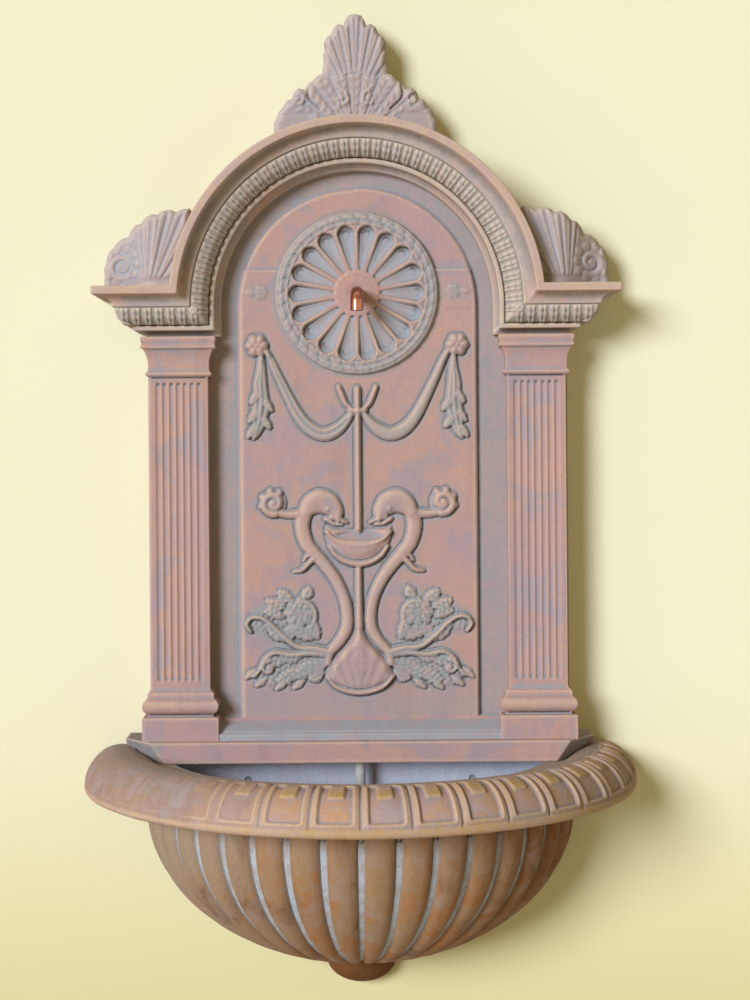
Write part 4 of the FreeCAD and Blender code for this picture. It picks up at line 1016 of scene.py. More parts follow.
def polygonDepth(sheet, corners):
    # distance inside a closed outline, negative outside
    x = sheet["x"]
    z = sheet["z"]
    nearest = np.full(x.shape, 1e9)
    inside = np.zeros(x.shape, bool)
    corners = np.array(corners, float)
    for (ax, az), (bx, bz) in zip(corners, np.roll(corners, -1, axis=0)):
        length = (bx - ax) ** 2 + (bz - az) ** 2 + 1e-12
        t = np.clip(((x - ax) * (bx - ax) + (z - az) * (bz - az)) / length, 0, 1)
        nearest = np.minimum(nearest, np.hypot(x - ax - t * (bx - ax), z - az - t * (bz - az)))
        if az != bz:
            crossing = (az > z) != (bz > z)
            inside ^= crossing & (x < (bx - ax) * (z - az) / (bz - az) + ax)
    return np.where(inside, nearest, -nearest)


def mound(sheet, corners, height, slope):
    # low rounded ground that carries a mass of leaves
    depth = polygonDepth(sheet, smoothCurve(corners + corners[:1], 3.0))
    sheet["relief"] = np.maximum(sheet["relief"], height * smoothStep(0, slope, depth))


def drawCandelabrum(sheet):
    stroke(sheet, np.array([(0, 457), (0, 280)], float), (3.6, 3.6), 7.5, fullness=0.35)
    for prong in (-1, 1):
        line = smoothCurve([(prong * 23, 459), (prong * 19, 449), (prong * 14, 438), (prong * 5, 430)], 2.0)
        stroke(sheet, line, (3.0, 3.6, 3.2, 2.6), 6.0)
    stroke(sheet, np.array([(-9, 430), (9, 430)], float), (3.4, 3.4), 7.5)
    boss(sheet, (0, 429), 6.0, 9.0)
    x = sheet["x"]
    z = sheet["z"]
    # round-bellied cup with an open oval mouth
    mouth = 279 - 6.0 * (1 - np.clip(x / 42, -1, 1) ** 2)
    reach = np.sqrt((x / 41.0) ** 2 + ((z - 282) / 43.0) ** 2)
    belly = np.minimum((1 - reach) * 34.0, mouth + 9 - z)
    raiseTo(sheet, everywhere, 9.5 * np.clip(belly / 12.0, 0, 1) ** 0.6, belly)
    lip = [(-39, 280), (-30, 271), (-16, 265), (0, 263), (16, 265), (30, 271), (39, 280)]
    stroke(sheet, smoothCurve(lip, 2.0), (2.4, 3.2, 3.6, 3.2, 2.4), 11.0)
    oval = np.sqrt((x / 34.0) ** 2 + ((z - 275) / 7.0) ** 2)
    sheet["relief"] = sheet["relief"] - 4.0 * smoothStep(1.1, 0.7, oval)
    base = [(-36, 262), (-27, 250), (-14, 242.5), (0, 240), (14, 242.5), (27, 250), (36, 262)]
    stroke(sheet, smoothCurve(base, 2.0), (2.0, 3.6, 4.4, 3.6, 2.0), 8.6)
    stroke(sheet, np.array([(0, 240), (0, 162)], float), (3.6, 3.4, 4.0, 5.0), 7.0, fullness=0.4)


def drawFoot(sheet):
    # bell under the stem: veined leaf, bead line and a curved lower edge
    x = sheet["x"]
    z = sheet["z"]
    width = 4 + 38 * smoothStep(168, 102, z) ** 1.2
    bottom = 81 + 20 * (np.abs(x) / 43) ** 2.2
    inside = np.minimum(width - np.abs(x), np.minimum(z - bottom, 168 - z))
    value = 8.5 * np.clip(inside / 9.0, 0, 1) ** 0.5
    turn = np.arctan2(x, np.maximum(z - 60, 1)) * 180 / math.pi
    value = value * (0.93 + 0.07 * np.cos(turn * 0.42) * smoothStep(80, 110, z))
    raiseTo(sheet, everywhere, value, inside)
    edge = [(-40, 101), (-30, 89), (-15, 83), (0, 81), (15, 83), (30, 89), (42, 101)]
    stroke(sheet, smoothCurve(edge, 2.0), (2.0, 3.4, 4.0, 3.4, 2.0), 9.5)
    blade(sheet, (0, 104), (0, 134), 15.0, 2.2, lobes=3, base=7.0)


def drawBird(sheet):
    f = fieldRelief
    body = smoothCurve(f["bird"], 2.0)
    stroke(sheet, body, (9.0, 9.4, 9.0, 8.4, 7.8, 7.2, 6.8, 6.8, 7.2, 6.4, 4.5), 6.4, fullness=0.32)
    stroke(sheet, smoothCurve(f["head"], 2.0), (8.0, 12.5, 15.0, 14.0, 9.5, 4.0), 7.6, fullness=0.36)
    stroke(sheet, smoothCurve([(-33, 299), (-24, 296), (-14, 291)], 1.5), (4.5, 3.6, 1.4), 6.5)
    stroke(sheet, smoothCurve([(-40, 296), (-30, 290), (-20, 289)], 1.5), (3.0, 2.6, 1.2), 5.5)
    boss(sheet, (-38, 309), 3.0, 1.8, 7.2)
    stem = smoothCurve([(-64, 306), (-76, 302), (-90, 302), (-101, 304)], 2.0)
    stroke(sheet, stem, (6.5, 5.0, 4.4), 5.4, fullness=0.4)
    boss(sheet, (-105, 316), 16.5, 3.0)
    curl(sheet, (-105, 316), 14.0, 1.4, 4.6, 5.0, -80, -1, 2.5)
    for turn in (60, 105, 150, 195):
        a = math.radians(turn)
        boss(sheet, (-105 + 15 * math.cos(a), 316 + 15 * math.sin(a)), 4.2, 4.5, 1.0)
    foot = smoothCurve([(-54, 249), (-62, 241), (-70, 233), (-81, 231)], 1.5)
    stroke(sheet, foot, (4.5, 3.6, 3.0, 1.4), 6.5)
    stroke(sheet, smoothCurve([(-58, 253), (-64, 250), (-68, 244)], 1.5), (3.5, 1.4), 5.5)


def drawSwag(sheet):
    f = fieldRelief
    line = smoothCurve(f["swag"], 2.0)
    stroke(sheet, line, (3.4, 4.6, 5.6, 7.0, 8.4, 8.0, 4.0), 5.6, fullness=0.36)
    groove = line[6:-4] + np.array([0.0, 1.0])
    for spot in groove:
        part, px, pz = around(sheet, spot, 4)
        sheet["cut"][part] = np.maximum(sheet["cut"][part], 2.6 * np.exp(-(np.hypot(px, pz) / 1.7) ** 2))
    stroke(sheet, smoothCurve(f["tail"], 2.0), (3.0, 5.5, 8.5, 9.5, 11.5, 8.0, 2.0), 6.0, folds=3)
    for x, z, way in ((-130, 446, -1), (-108, 437, 1), (-132, 423, -1), (-110, 415, 1), (-134, 404, -1)):
        blade(sheet, (x - way * 8, z + 7), (x + way * 3, z - 8), 5.5, 5.0, 0, 3, 1.5)
    rosette(sheet, (-124, 511), 14.5, 6, 9.0)
    rosette(sheet, (-119, 577), 9.5, 6, 2.2)
    blade(sheet, (-127, 577), (-140, 577), 4.5, 2.0, 0, 3)


def drawAcanthus(sheet):
    f = fieldRelief
    mound(sheet, f["outline"], 2.2, 8.0)
    mound(sheet, f["crown"], 1.3, 10.0)
    rosette(sheet, (-73, 180), 19.5, 8, 4.4, 0.9)
    curl(sheet, (-73, 180), 22.0, 0.9, 3.0, 3.4, -60, 1, 0.9)
    for start, end, half, bend in (
            ((-84, 196), (-100, 208), 7.5, 1.5), ((-68, 199), (-60, 213), 6.5, -1.5),
            ((-94, 188), (-116, 196), 7.5, 2), ((-96, 176), (-118, 182), 6.5, -2),
            ((-60, 150), (-92, 160), 8.0, -3), ((-84, 150), (-116, 166), 7.5, 4),
            ((-52, 150), (-56, 172), 6.5, 2),
            ((-40, 118), (-72, 116), 9.0, 3), ((-58, 110), (-84, 98), 8.0, -3),
            ((-82, 108), (-104, 96), 8.0, 3), ((-96, 120), (-122, 112), 7.0, -3),
            ((-74, 126), (-98, 126), 6.0, 2), ((-46, 106), (-64, 98), 6.5, 2)):
        blade(sheet, start, end, half + 1.5, 3.2, bend, 4, 0.9)
    stem = [(-36, 131), (-56, 136), (-76, 138), (-94, 151), (-108, 165), (-121, 174), (-133, 174),
            (-139, 166), (-134, 157)]
    stroke(sheet, smoothCurve(stem, 2.0), (4.4, 4.0, 3.8, 3.6, 3.2, 2.8, 2.2), 7.0, fullness=0.4)
    lower = [(-40, 128), (-62, 130), (-84, 128), (-104, 131), (-117, 123), (-124, 109), (-131, 101)]
    stroke(sheet, smoothCurve(lower, 2.0), (4.2, 3.8, 3.4, 3.4, 3.0, 2.6, 1.6), 6.4, fullness=0.4)
    curl(sheet, (-112, 112), 9.5, 1.0, 2.8, 4.5, 80, 1, 2.2)
    # leaf veins that spread from the foot of the sprays
    x = sheet["x"]
    z = sheet["z"]
    relief = sheet["relief"]
    far = np.hypot(x + 36, z - 128)
    turn = np.arctan2(z - 128, x + 36)
    veins = 0.8 * np.cos(turn * 46) * np.cos(far * 0.9 + 3 * np.cos(turn * 9))
    leafy = (relief > 0.6) & (relief < 6.4) & (far < 112) & (z < 214) & (x < -30)
    sheet["relief"] = relief + veins * leafy
    for x, z in ((-140, 101), (-127, 91), (-102, 87), (-80, 88)):
        blade(sheet, (x + 11, z + 8), (x - 3, z - 3), 4.6, 3.6, 0, 2, 0.8)


def fieldGround(x, z):
    # plain field: raised panel with sunk lines round it
    across = np.abs(x)
    centre = moulding["archCentre"]
    reach = np.where(z > centre, np.hypot(x, np.maximum(z - centre, 0)), across)
    height = 40.0 + 6.0 * smoothStep(149.5, 146.0 - 2.5 * (x < 0), reach)
    line = 0.8 * np.exp(-((z - 554.0) / 1.2) ** 2) * (across < 146.0) * (across > 110)
    shelf = 2.4 * smoothStep(604.0, 605.6, z) * smoothStep(149, 147, reach)
    lip = 1.2 * np.exp(-((z - 603.0) / 1.2) ** 2) * (reach < 146)
    return height - line - shelf + lip


def soften(grid):
    wide = grid.copy()
    wide[1:-1, 1:-1] = (grid[1:-1, 1:-1] + grid[:-2, 1:-1] + grid[2:, 1:-1]
                        + grid[1:-1, :-2] + grid[1:-1, 2:]) / 5
    return wide


def makeField():
    f = fieldRelief
    sheet = newSheet(*f["extent"], f["cell"])
    drawSwag(sheet)
    drawAcanthus(sheet)
    mirrorSheet(sheet)
    sheet["solid"][sheet["z"] > 560] = -50.0
    cool = sheet["relief"].copy()
    cover = np.maximum(polygonDepth(sheet, f["outline"]), polygonDepth(sheet, f["crown"]))
    cover = smoothStep(-9, 5, np.maximum(cover, cover[:, ::-1]))
    drawBird(sheet)
    mirrorSheet(sheet)
    drawCandelabrum(sheet)
    drawFoot(sheet)
    warm = (sheet["relief"] > cool + 0.5).astype(float)
    for x, z in ((-124, 511), (124, 511)):
        warm = np.maximum(warm, np.hypot(sheet["x"] - x, sheet["z"] - z) < 12)
    relief = np.maximum(sheet["relief"] - sheet["cut"] * (sheet["relief"] > 0.5), 0)
    # fine groove round every raised shape
    relief = relief - 1.8 * np.exp(-(sheet["solid"] + 1.0) ** 2)
    out = fieldGround(sheet["x"], sheet["z"]) + relief
    out = soften(out) * 0.6 + out * 0.4
    rows, cols = out.shape
    points = np.stack([sheet["x"], -out, sheet["z"]], axis=-1).reshape(-1, 3)
    faces = gridFaces(rows, cols)
    middle = points[faces].mean(axis=1)
    centre = moulding["archCentre"]
    reach = np.hypot(middle[:, 0], np.maximum(middle[:, 2] - centre, 0))
    keep = (middle[:, 2] < centre - 30) | (reach < moulding["archOuter"] - moulding["width"] + 3)
    keep = keep & (np.hypot(middle[:, 0], middle[:, 2] - f["discHeight"]) > f["discHole"])
    faces = faces[keep]
    used = np.unique(faces)
    renumber = np.zeros(len(points), int)
    renumber[used] = np.arange(len(used))
    piece = newPiece("reliefField", points[used], renumber[faces], (0, 0, 300))
    bloom = np.clip(relief / 2.0, 0, 1)
    for turn in range(40):
        bloom = soften(bloom)
    warm = soften(soften(warm))
    edge = np.hypot(sheet["x"], np.maximum(sheet["z"] - centre, 0))
    rimBloom = np.maximum(0.7 * smoothStep(146, 149, edge), 0.45 * smoothStep(110, 66, sheet["z"]))
    bloom = np.maximum(np.minimum(bloom * 1.7, 1.0), 0.9 * cover) * (1 - 0.8 * warm)
    bloom = np.maximum(bloom, rimBloom)
    disc = np.hypot(sheet["x"], sheet["z"] - f["discHeight"])
    bloom = np.maximum(bloom, 0.9 * smoothStep(*f["discBloom"], disc))
    paintPoints(piece, "patinaAndPaintedLight", bloom.ravel()[used])
    castFinish(piece, panelStone, 7, 0.8, 0.2)
    settle(piece, "panel")


makeField()
print("field carved")


# Medallion: one petal and its share of the leaf ring, turned round the spout

medallion = {
    "height": fieldRelief["discHeight"], "radius": 101.0, "rise": 8.0, "field": 46.0, "petals": 18,
    "petalDepth": 6.0, "inner": 31.0, "innerRound": 3.6, "outer": 73.5, "outerRound": 11.2, "hole": 8.3,
    "ringInner": 84.0, "ringOuter": 97.0, "ringLeaves": 2,
}


def petalDistance(x, r):
    # distance inside a drop-shaped petal that lies along r
    m = medallion
    share = np.clip((r - m["inner"]) / (m["outer"] - m["inner"]), 0, 1)
    radius = m["innerRound"] + (m["outerRound"] - m["innerRound"]) * share
    away = np.hypot(x, r - (m["inner"] + (m["outer"] - m["inner"]) * share))
    return radius - away


def makeMedallion():
    m = medallion
    half = math.pi / m["petals"]
    across = np.linspace(-1.0, 1.0, 31)
    edge = m["radius"]
    leafFoot = m["ringInner"]
    radii = np.concatenate([np.arange(m["hole"], edge - 1, 1.2), [edge - 0.6, edge, edge, edge]])
    angle = across[None, :] * half
    r = radii[:, None] * np.ones_like(angle)
    x = r * np.sin(angle)
    z = r * np.cos(angle)
    inside = petalDistance(x, z)
    out = m["field"] + m["rise"] * np.ones_like(r)
    sunk = m["petalDepth"] * smoothStep(-0.6, 2.2, inside) * (0.5 + 0.5 * smoothStep(30, 72, r))
    sunk = sunk * (0.7 + 0.3 * smoothStep(1.5, 8.0, inside))
    rim = 0.9 * np.exp(-((inside + 1.2) / 1.2) ** 2) * smoothStep(60, 72, r)
    out = out + rim - sunk
    # garland of slanting leaves between two fine grooves
    ring = smoothStep(leafFoot + 0.6, leafFoot + 2.4, r) * smoothStep(edge, edge - 2.5, r)
    phase = (angle / half + 1) / 2 * m["ringLeaves"] + 0.04 * (r - leafFoot - 10)
    fold = np.abs(np.sin(phase * math.pi))
    vein = np.abs(np.sin(phase * math.pi * 2 + 0.6))
    out = out + ring * (1.6 * fold ** 0.6 + 0.8 * vein * np.cos((r - leafFoot - 2) * 0.8) - 1.2)
    out = out - 1.3 * np.exp(-(r - leafFoot) ** 2) - np.exp(-(r - m["ringOuter"]) ** 2)
    out = out - (m["rise"] - 1.5) * smoothStep(edge - 3.5, edge, r) ** 2
    out = out + 0.8 * smoothStep(28.5, 26.0, r) - 1.2 * smoothStep(14, 9, r)
    out[-2] = m["field"] - 1.0
    out[-1] = m["field"] - 3.0
    points = np.stack([x, -out, z], axis=-1)
    sector = gridPiece("medallion", points, (0, 0, 60))
    grey = 0.85 * smoothStep(80, 88, r) + 0.35 * smoothStep(28, 40, r) * (r < leafFoot)
    paintPoints(sector, "patinaAndPaintedLight", grey)
    paintPoints(sector, "accent", 0.80 * smoothStep(0.2, 2.6, inside) + 0.25 * smoothStep(86, 92, r))
    turnRound(sector, m["petals"], 2 * half, half, (0.0, 1.0, 0.0), panelStone)
    movePoints(sector, piecePoints(sector) + np.array([0.0, 0.0, m["height"]]))
    castFinish(sector, panelStone, 8, 0.5, 0.15)
    settle(sector, "panel")


makeMedallion()
print("medallion turned")


# Crest and corner shells: plates cut to their leaves' outline

ornaments = {
    "depth": 46.0, "cell": 1.25, "rear": 0.4, "shellLean": 34.0,
    "crestExtent": (-110.0, 110.0, 758.0, 926.0), "shellExtent": (-330.0, -196.0, 574.0, 690.0),
    "crestOutline": [
        (0, 922), (8, 920), (12.5, 913), (14, 907.5), (20, 909.5), (26, 905), (29.5, 896.5), (35, 893),
        (38.5, 886), (37, 878), (39.5, 871), (38.5, 862), (40.5, 855), (40, 848), (46, 846), (53, 839),
        (58, 836), (62, 828), (70, 830), (76, 825), (79, 817), (85, 815), (90, 806), (95, 801), (98, 793),
        (101, 787), (101, 762)],
    "shellOutline": [
        (-203, 678), (-212, 677), (-220, 673), (-226, 676), (-236, 675), (-243, 670), (-250, 671.5),
        (-258, 667), (-264, 660.5), (-271, 660), (-277.5, 653), (-281, 645.5), (-289, 645), (-297, 640),
        (-301, 634), (-306.5, 629), (-309.5, 621.5), (-311, 614), (-313, 608), (-312.5, 598),
        (-313.5, 588), (-314, 577), (-203, 577)],
}


def makePlate(name, sheet, seed):
    # mesh of the drawn sheet, its rim drawn to the outline, with walls back to the wall
    back = -ornaments["rear"]
    inside = sheet["solid"]
    rows, cols = inside.shape
    centre = (inside[:-1, :-1] + inside[1:, 1:] + inside[:-1, 1:] + inside[1:, :-1]) / 4
    faces = gridFaces(rows, cols)[(centre > 0).ravel()]
    slopeZ, slopeX = np.gradient(inside, sheet["cell"])
    steep = np.maximum(slopeX ** 2 + slopeZ ** 2, 0.25)
    x = sheet["x"].copy()
    z = sheet["z"].copy()
    sides = np.concatenate([faces[:, [0, 1]], faces[:, [1, 2]], faces[:, [2, 3]], faces[:, [3, 0]]])
    found = np.unique(np.sort(sides, axis=1), axis=0, return_index=True, return_counts=True)
    border = sides[found[1][found[2] == 1]]
    rim = np.unique(border)
    limit = sheet["cell"] * 1.1
    moveX = np.clip(-inside * slopeX / steep, -limit, limit).ravel()
    moveZ = np.clip(-inside * slopeZ / steep, -limit, limit).ravel()
    x.ravel()[rim] += moveX[rim]
    z.ravel()[rim] += moveZ[rim]
    used = np.unique(faces)
    renumber = np.full(rows * cols, -1)
    renumber[used] = np.arange(len(used))
    points = np.stack([x.ravel()[used], -sheet["out"].ravel()[used], z.ravel()[used]], axis=1)
    faces = renumber[faces]
    border = renumber[border]
    ring = np.unique(border)
    allPoints = [points]
    allFaces = [faces]
    previous = np.arange(len(points))
    start = len(points)
    for level in (0.75, 0.45, 0.2, 0.0):
        index = np.full(len(points), -1)
        index[ring] = np.arange(len(ring)) + start
        low = points[ring].copy()
        low[:, 1] = back + (low[:, 1] - back) * level
        allPoints.append(low)
        a = border[:, 0]
        b = border[:, 1]
        allFaces.append(np.stack([previous[b], previous[a], index[a], index[b]], axis=1))
        previous = index
        start += len(ring)
    rear = points.copy()
    rear[:, 1] = back
    allPoints.append(rear)
    allFaces.append(faces[:, ::-1] + start)
    core = (points[:, 0].mean(), back, points[:, 2].mean())
    piece = newPiece(name, np.vstack(allPoints), np.vstack(allFaces), core)
    paintPoints(piece, "patinaAndPaintedLight", 0.6)
    castFinish(piece, ornamentStone, seed, 0.8, 0.2)
    settle(piece, "panel")


def leafMass(sheet, hub, bounds, veinPitch, height):
    # leaves that fan from a hub and touch: ribs, middle grooves and slanting veins
    x = sheet["x"] - hub[0]
    z = sheet["z"] - hub[1]
    turn = np.degrees(np.arctan2(x, z))
    far = np.hypot(x, z)
    u = np.zeros(x.shape)
    lift = np.zeros(x.shape)
    for index, (low, high) in enumerate(zip(bounds[:-1], bounds[1:])):
        here = (turn >= low) & (turn <= high)
        u = np.where(here, (turn - low) / (high - low) * 2 - 1, u)
        lift = np.where(here, 0.8 * (index % 2), lift)
    inside = (turn >= bounds[0]) & (turn <= bounds[-1])
    value = height * np.clip(1 - np.abs(u) ** 2.2, 0, 1) ** 0.5 + lift
    value = value - 0.28 * height * np.exp(-(u * 5.0) ** 2)
    value = value + 0.22 * height * np.cos(2 * math.pi * (far / veinPitch - 0.55 * np.abs(u))) * (1 - u ** 2)
    return np.where(inside, value, 0.0)


def makeCrest():
    o = ornaments
    sheet = newSheet(*o["crestExtent"], o["cell"])
    x = sheet["x"]
    z = sheet["z"]
    half = o["crestOutline"]
    depth = polygonDepth(sheet, half + [(-px, pz) for px, pz in half[::-1]])
    fan = leafMass(sheet, (0, 806), [-34, -26.5, -19, -11.5, -4, 4, 11.5, 19, 26.5, 34], 400.0, 2.8)
    mass = leafMass(sheet, (0, 764), [-96, -82, -67, -52, -37, -21, -7, 7, 21, 37, 52, 67, 82, 96], 11.0, 2.8)
    upper = smoothStep(843, 850, z - 4 * np.cos(x / 9.0))
    relief = fan * upper + (mass + 1.5) * (1 - upper)
    plain = smoothStep(802, 796, z) * smoothStep(50, 58, np.abs(x))
    relief = relief * (1 - plain) + 2.0 * plain
    seam = np.minimum(np.abs(z - 843 - 4 * np.cos(x / 9.0)), 9)
    relief = relief - 1.4 * np.exp(-(seam / 1.4) ** 2) * (np.abs(x) < 44)
    for way in (-1, 1):
        for spot in smoothCurve([(way * 57, 836), (way * 58, 818), (way * 44, 803)], 1.0):
            part, px, pz = around(sheet, spot, 5)
            relief[part] = np.minimum(relief[part], 6 - 7.5 * np.exp(-(np.hypot(px, pz) / 1.6) ** 2))
    edge = np.clip(depth / 6.0, 0, 1) ** 0.5
    sheet["out"] = o["depth"] - 5.0 + edge * (5.0 + relief)
    sheet["solid"] = depth
    for way in (-1, 1):
        curl(sheet, (way * 17, 815), 10.0, 1.1, 2.8, 3.0, 90, way, 0.0)
        curl(sheet, (way * 71, 815), 8.5, 1.0, 2.6, 3.0, 70, way, 0.0)
    sheet["out"] = sheet["out"] + sheet["relief"] * 0.8
    sheet["solid"] = depth
    makePlate("crest", sheet, 9)


def makeShell(sign):
    o = ornaments
    sheet = newSheet(*o["shellExtent"], o["cell"])
    x = sheet["x"]
    z = sheet["z"]
    depth = polygonDepth(sheet, o["shellOutline"])
    ribs = leafMass(sheet, (-258, 560), [-20, -12, -4, 5, 14, 23, 32, 42], 400.0, 2.8)
    beyond = smoothStep(-268, -274, x + (z - 640) * 0.12)
    relief = ribs * (1 - beyond) + 2.0 * beyond
    relief = relief - 2.4 * np.exp(-((x + 269 + (z - 640) * 0.12) / 1.8) ** 2) * (z > 592)
    foot = smoothStep(596, 590, z)
    relief = relief * (1 - foot) + 1.0 * foot
    edge = np.clip(depth / 6.0, 0, 1) ** 0.5
    lean = o["shellLean"] * smoothStep(-304, -244, x)
    sheet["out"] = o["depth"] - 5.0 + edge * (5.0 + relief) + lean
    curl(sheet, (-290, 610), 16.0, 1.4, 4.0, 2.4, -60, -1)
    for turn in range(0, 360, 36):
        a = math.radians(turn)
        boss(sheet, (-290 + 20 * math.cos(a), 611 + 20 * math.sin(a)), 5.5, 1.8)
    sheet["out"] = sheet["out"] + sheet["relief"] * np.clip(depth / 5.0, 0, 1)
    sheet["solid"] = depth
    if sign > 0:
        sheet["x"] = -sheet["x"]
    makePlate("shellRight" if sign > 0 else "shellLeft", sheet, 11 + sign)


makeCrest()
for side in (-1, 1):
    makeShell(side)
print("crest and shells carved")


# Hidden sides of the castings, kept from the frame's own solids

# where the frame's solids are hollow or end, measured from the wall and the ledge
hidden = {
    "stripDepth": 0.4, "nearWall": 1.6, "wallSkin": 0.6,
    "crestFoot": 786.0, "shellFoot": 582.0, "shellInner": 228.0,
    "hollowHalf": 154.6, "hollowDepth": 32.7, "footHollowDepth": 58.6, "footHollowTop": 54.5,
    "pocketInner": 189.4, "pocketOuter": 248.6, "pocketDepth": 48.6, "pocketFoot": 39.0, "pocketTop": 568.0,
    "spoutHeight": 573.0, "spoutBore": 9.0, "spoutDepth": 44.0, "plinthUnder": 13.5,
    "cavityRadius": 242.0, "cavityFloor": -202.0, "rearWall": 26.5, "anchorReach": 160.0,
}


def keepFaces(name, body, chosen, material, cuts=()):
    # a copy of the frame's solid, split on the cut planes, with only the chosen faces left
    work = bmesh.new()
    work.from_mesh(bpy.data.objects[castings[body][1]].data)
    bmesh.ops.remove_doubles(work, verts=work.verts, dist=0.02 * mm)
    for axis, place in cuts:
        normal = [0.0, 0.0, 0.0]
        normal[axis] = 1.0
        everything = work.verts[:] + work.edges[:] + work.faces[:]
        bmesh.ops.bisect_plane(work, geom=everything, plane_co=[place * mm * part for part in normal],
                               plane_no=normal)
    unwanted = []
    for face in work.faces:
        centre = face.calc_center_median()
        if not chosen(centre.x / mm, centre.y / mm, centre.z / mm, face.normal):
            unwanted.append(face)
    bmesh.ops.delete(work, geom=unwanted, context="FACES")
    bmesh.ops.triangulate(work, faces=work.faces)
    mesh = bpy.data.meshes.new(name)
    work.to_mesh(mesh)
    work.free()
    for layer in ("custom_normal", "sharp_face", "sharp_edge"):
        if layer in mesh.attributes:
            mesh.attributes.remove(mesh.attributes[layer])
    mesh.materials.clear()
    mesh.materials.append(material)
    mesh.polygons.foreach_set("material_index", [0] * len(mesh.polygons))
    mesh.polygons.foreach_set("use_smooth", [False] * len(mesh.polygons))
    piece = addObject(name, mesh)
    paintPoints(piece, "recess", 0.56)
    settle(piece, body)


def closeBack(piece, centres, share):
    # flat strip at the wall from the open edge of a half turned piece inwards to its own solid's back
    near = -hidden["nearWall"] * mm
    work = bmesh.new()
    work.from_mesh(piece.data)
    edges = [edge for edge in work.edges if edge.is_boundary and min(vert.co.y for vert in edge.verts) > near]
    inner = {}
    for vert in [vert for edge in edges for vert in edge.verts]:
        if vert not in inner:
            x, z = min(centres, key=lambda centre: abs(centre[0] * mm - vert.co.x))
            place = (x * mm + (vert.co.x - x * mm) * share, -hidden["stripDepth"] * mm,
                     z * mm + (vert.co.z - z * mm) * share)
            inner[vert] = work.verts.new(place, vert)
    strips = []
    for loop in [edge.link_loops[0] for edge in edges]:
        a = loop.vert
        b = loop.link_loop_next.vert
        strips.append(work.faces.new((b, a, inner[a], inner[b]), loop.face))
    bmesh.ops.triangulate(work, faces=strips)
    work.normal_update()
    for face in work.faces:
        if face.calc_center_median().y > near and face.normal.y < -0.7:
            face.normal_flip()
    work.to_mesh(piece.data)
    work.free()


def panelBackFaces(x, y, z, normal):
    h = hidden
    x = abs(x)
    if y > -h["wallSkin"]:
        return not (z > h["crestFoot"] or (x > h["shellInner"] and z > h["shellFoot"]))
    arch = math.hypot(x, max(z - moulding["archCentre"], 0))
    hollow = arch < h["hollowHalf"] and y > -h["hollowDepth"] and z > -1.5
    foot = x < h["hollowHalf"] and y > -h["footHollowDepth"] and 0.35 < z < h["footHollowTop"]
    beside = h["pocketInner"] < x < h["pocketOuter"] and y > -h["pocketDepth"]
    pocket = beside and h["pocketFoot"] < z < h["pocketTop"]
    bore = math.hypot(x, z - h["spoutHeight"]) < h["spoutBore"] and y > -h["spoutDepth"]
    return hollow or foot or pocket or bore or (z < h["plinthUnder"] and normal.z < -0.25)


keepFaces("panelBack", "panel", panelBackFaces, panelStone,
          [(2, hidden["crestFoot"]), (2, hidden["shellFoot"]), (0, hidden["shellInner"]),
           (0, -hidden["shellInner"])])
print("back of the panel kept")


# Basin rim: one tongue turned round the half circle

rim = {
    "soffit": 38.5, "heel": 7.0, "inner": 242.0, "soffitInner": 258.0, "faceRadius": 330.0,
    "tongues": 19, "sunk": 2.8, "panelHalf": 18.5, "topDeg": 86.0, "footDeg": 15.0, "seam": 2.6,
    "tabHalf": 9.5, "tabHigh": 25.0, "tabRise": 3.6, "wear": 0.9, "backCentre": (300.0, -14.0), **rollShape,
}


def rimProfile():
    # (radius, height) from the inner edge of the ledge over the roll to the soffit
    r = rim
    line = [(r["inner"], -2), (r["inner"], 0), (r["ledge"], 0)]
    line += throughThree((r["ledge"], 0), (r["ledge"] + 16, r["crestHeight"] - 2.5),
                         (r["crestRadius"], r["crestHeight"]), 10)
    line += [(rollEnd, r["crestHeight"])]
    line += arcPoints(rollEnd, r["crestHeight"] - r["ovolo"], r["ovolo"], 90, 0, 40)
    edge = rollEnd + r["ovolo"]
    line += [(edge - 1.6, -r["soffit"] + 2.2), (edge - r["heel"], -r["soffit"])]
    return evenLine(line, 1.6, 1)


def boxDistance(x, z, halfX, halfZ, corner):
    # distance outside a rectangle with rounded corners
    qx = np.abs(x) - (halfX - corner)
    qz = np.abs(z) - (halfZ - corner)
    return np.hypot(np.maximum(qx, 0), np.maximum(qz, 0)) + np.minimum(np.maximum(qx, qz), 0) - corner


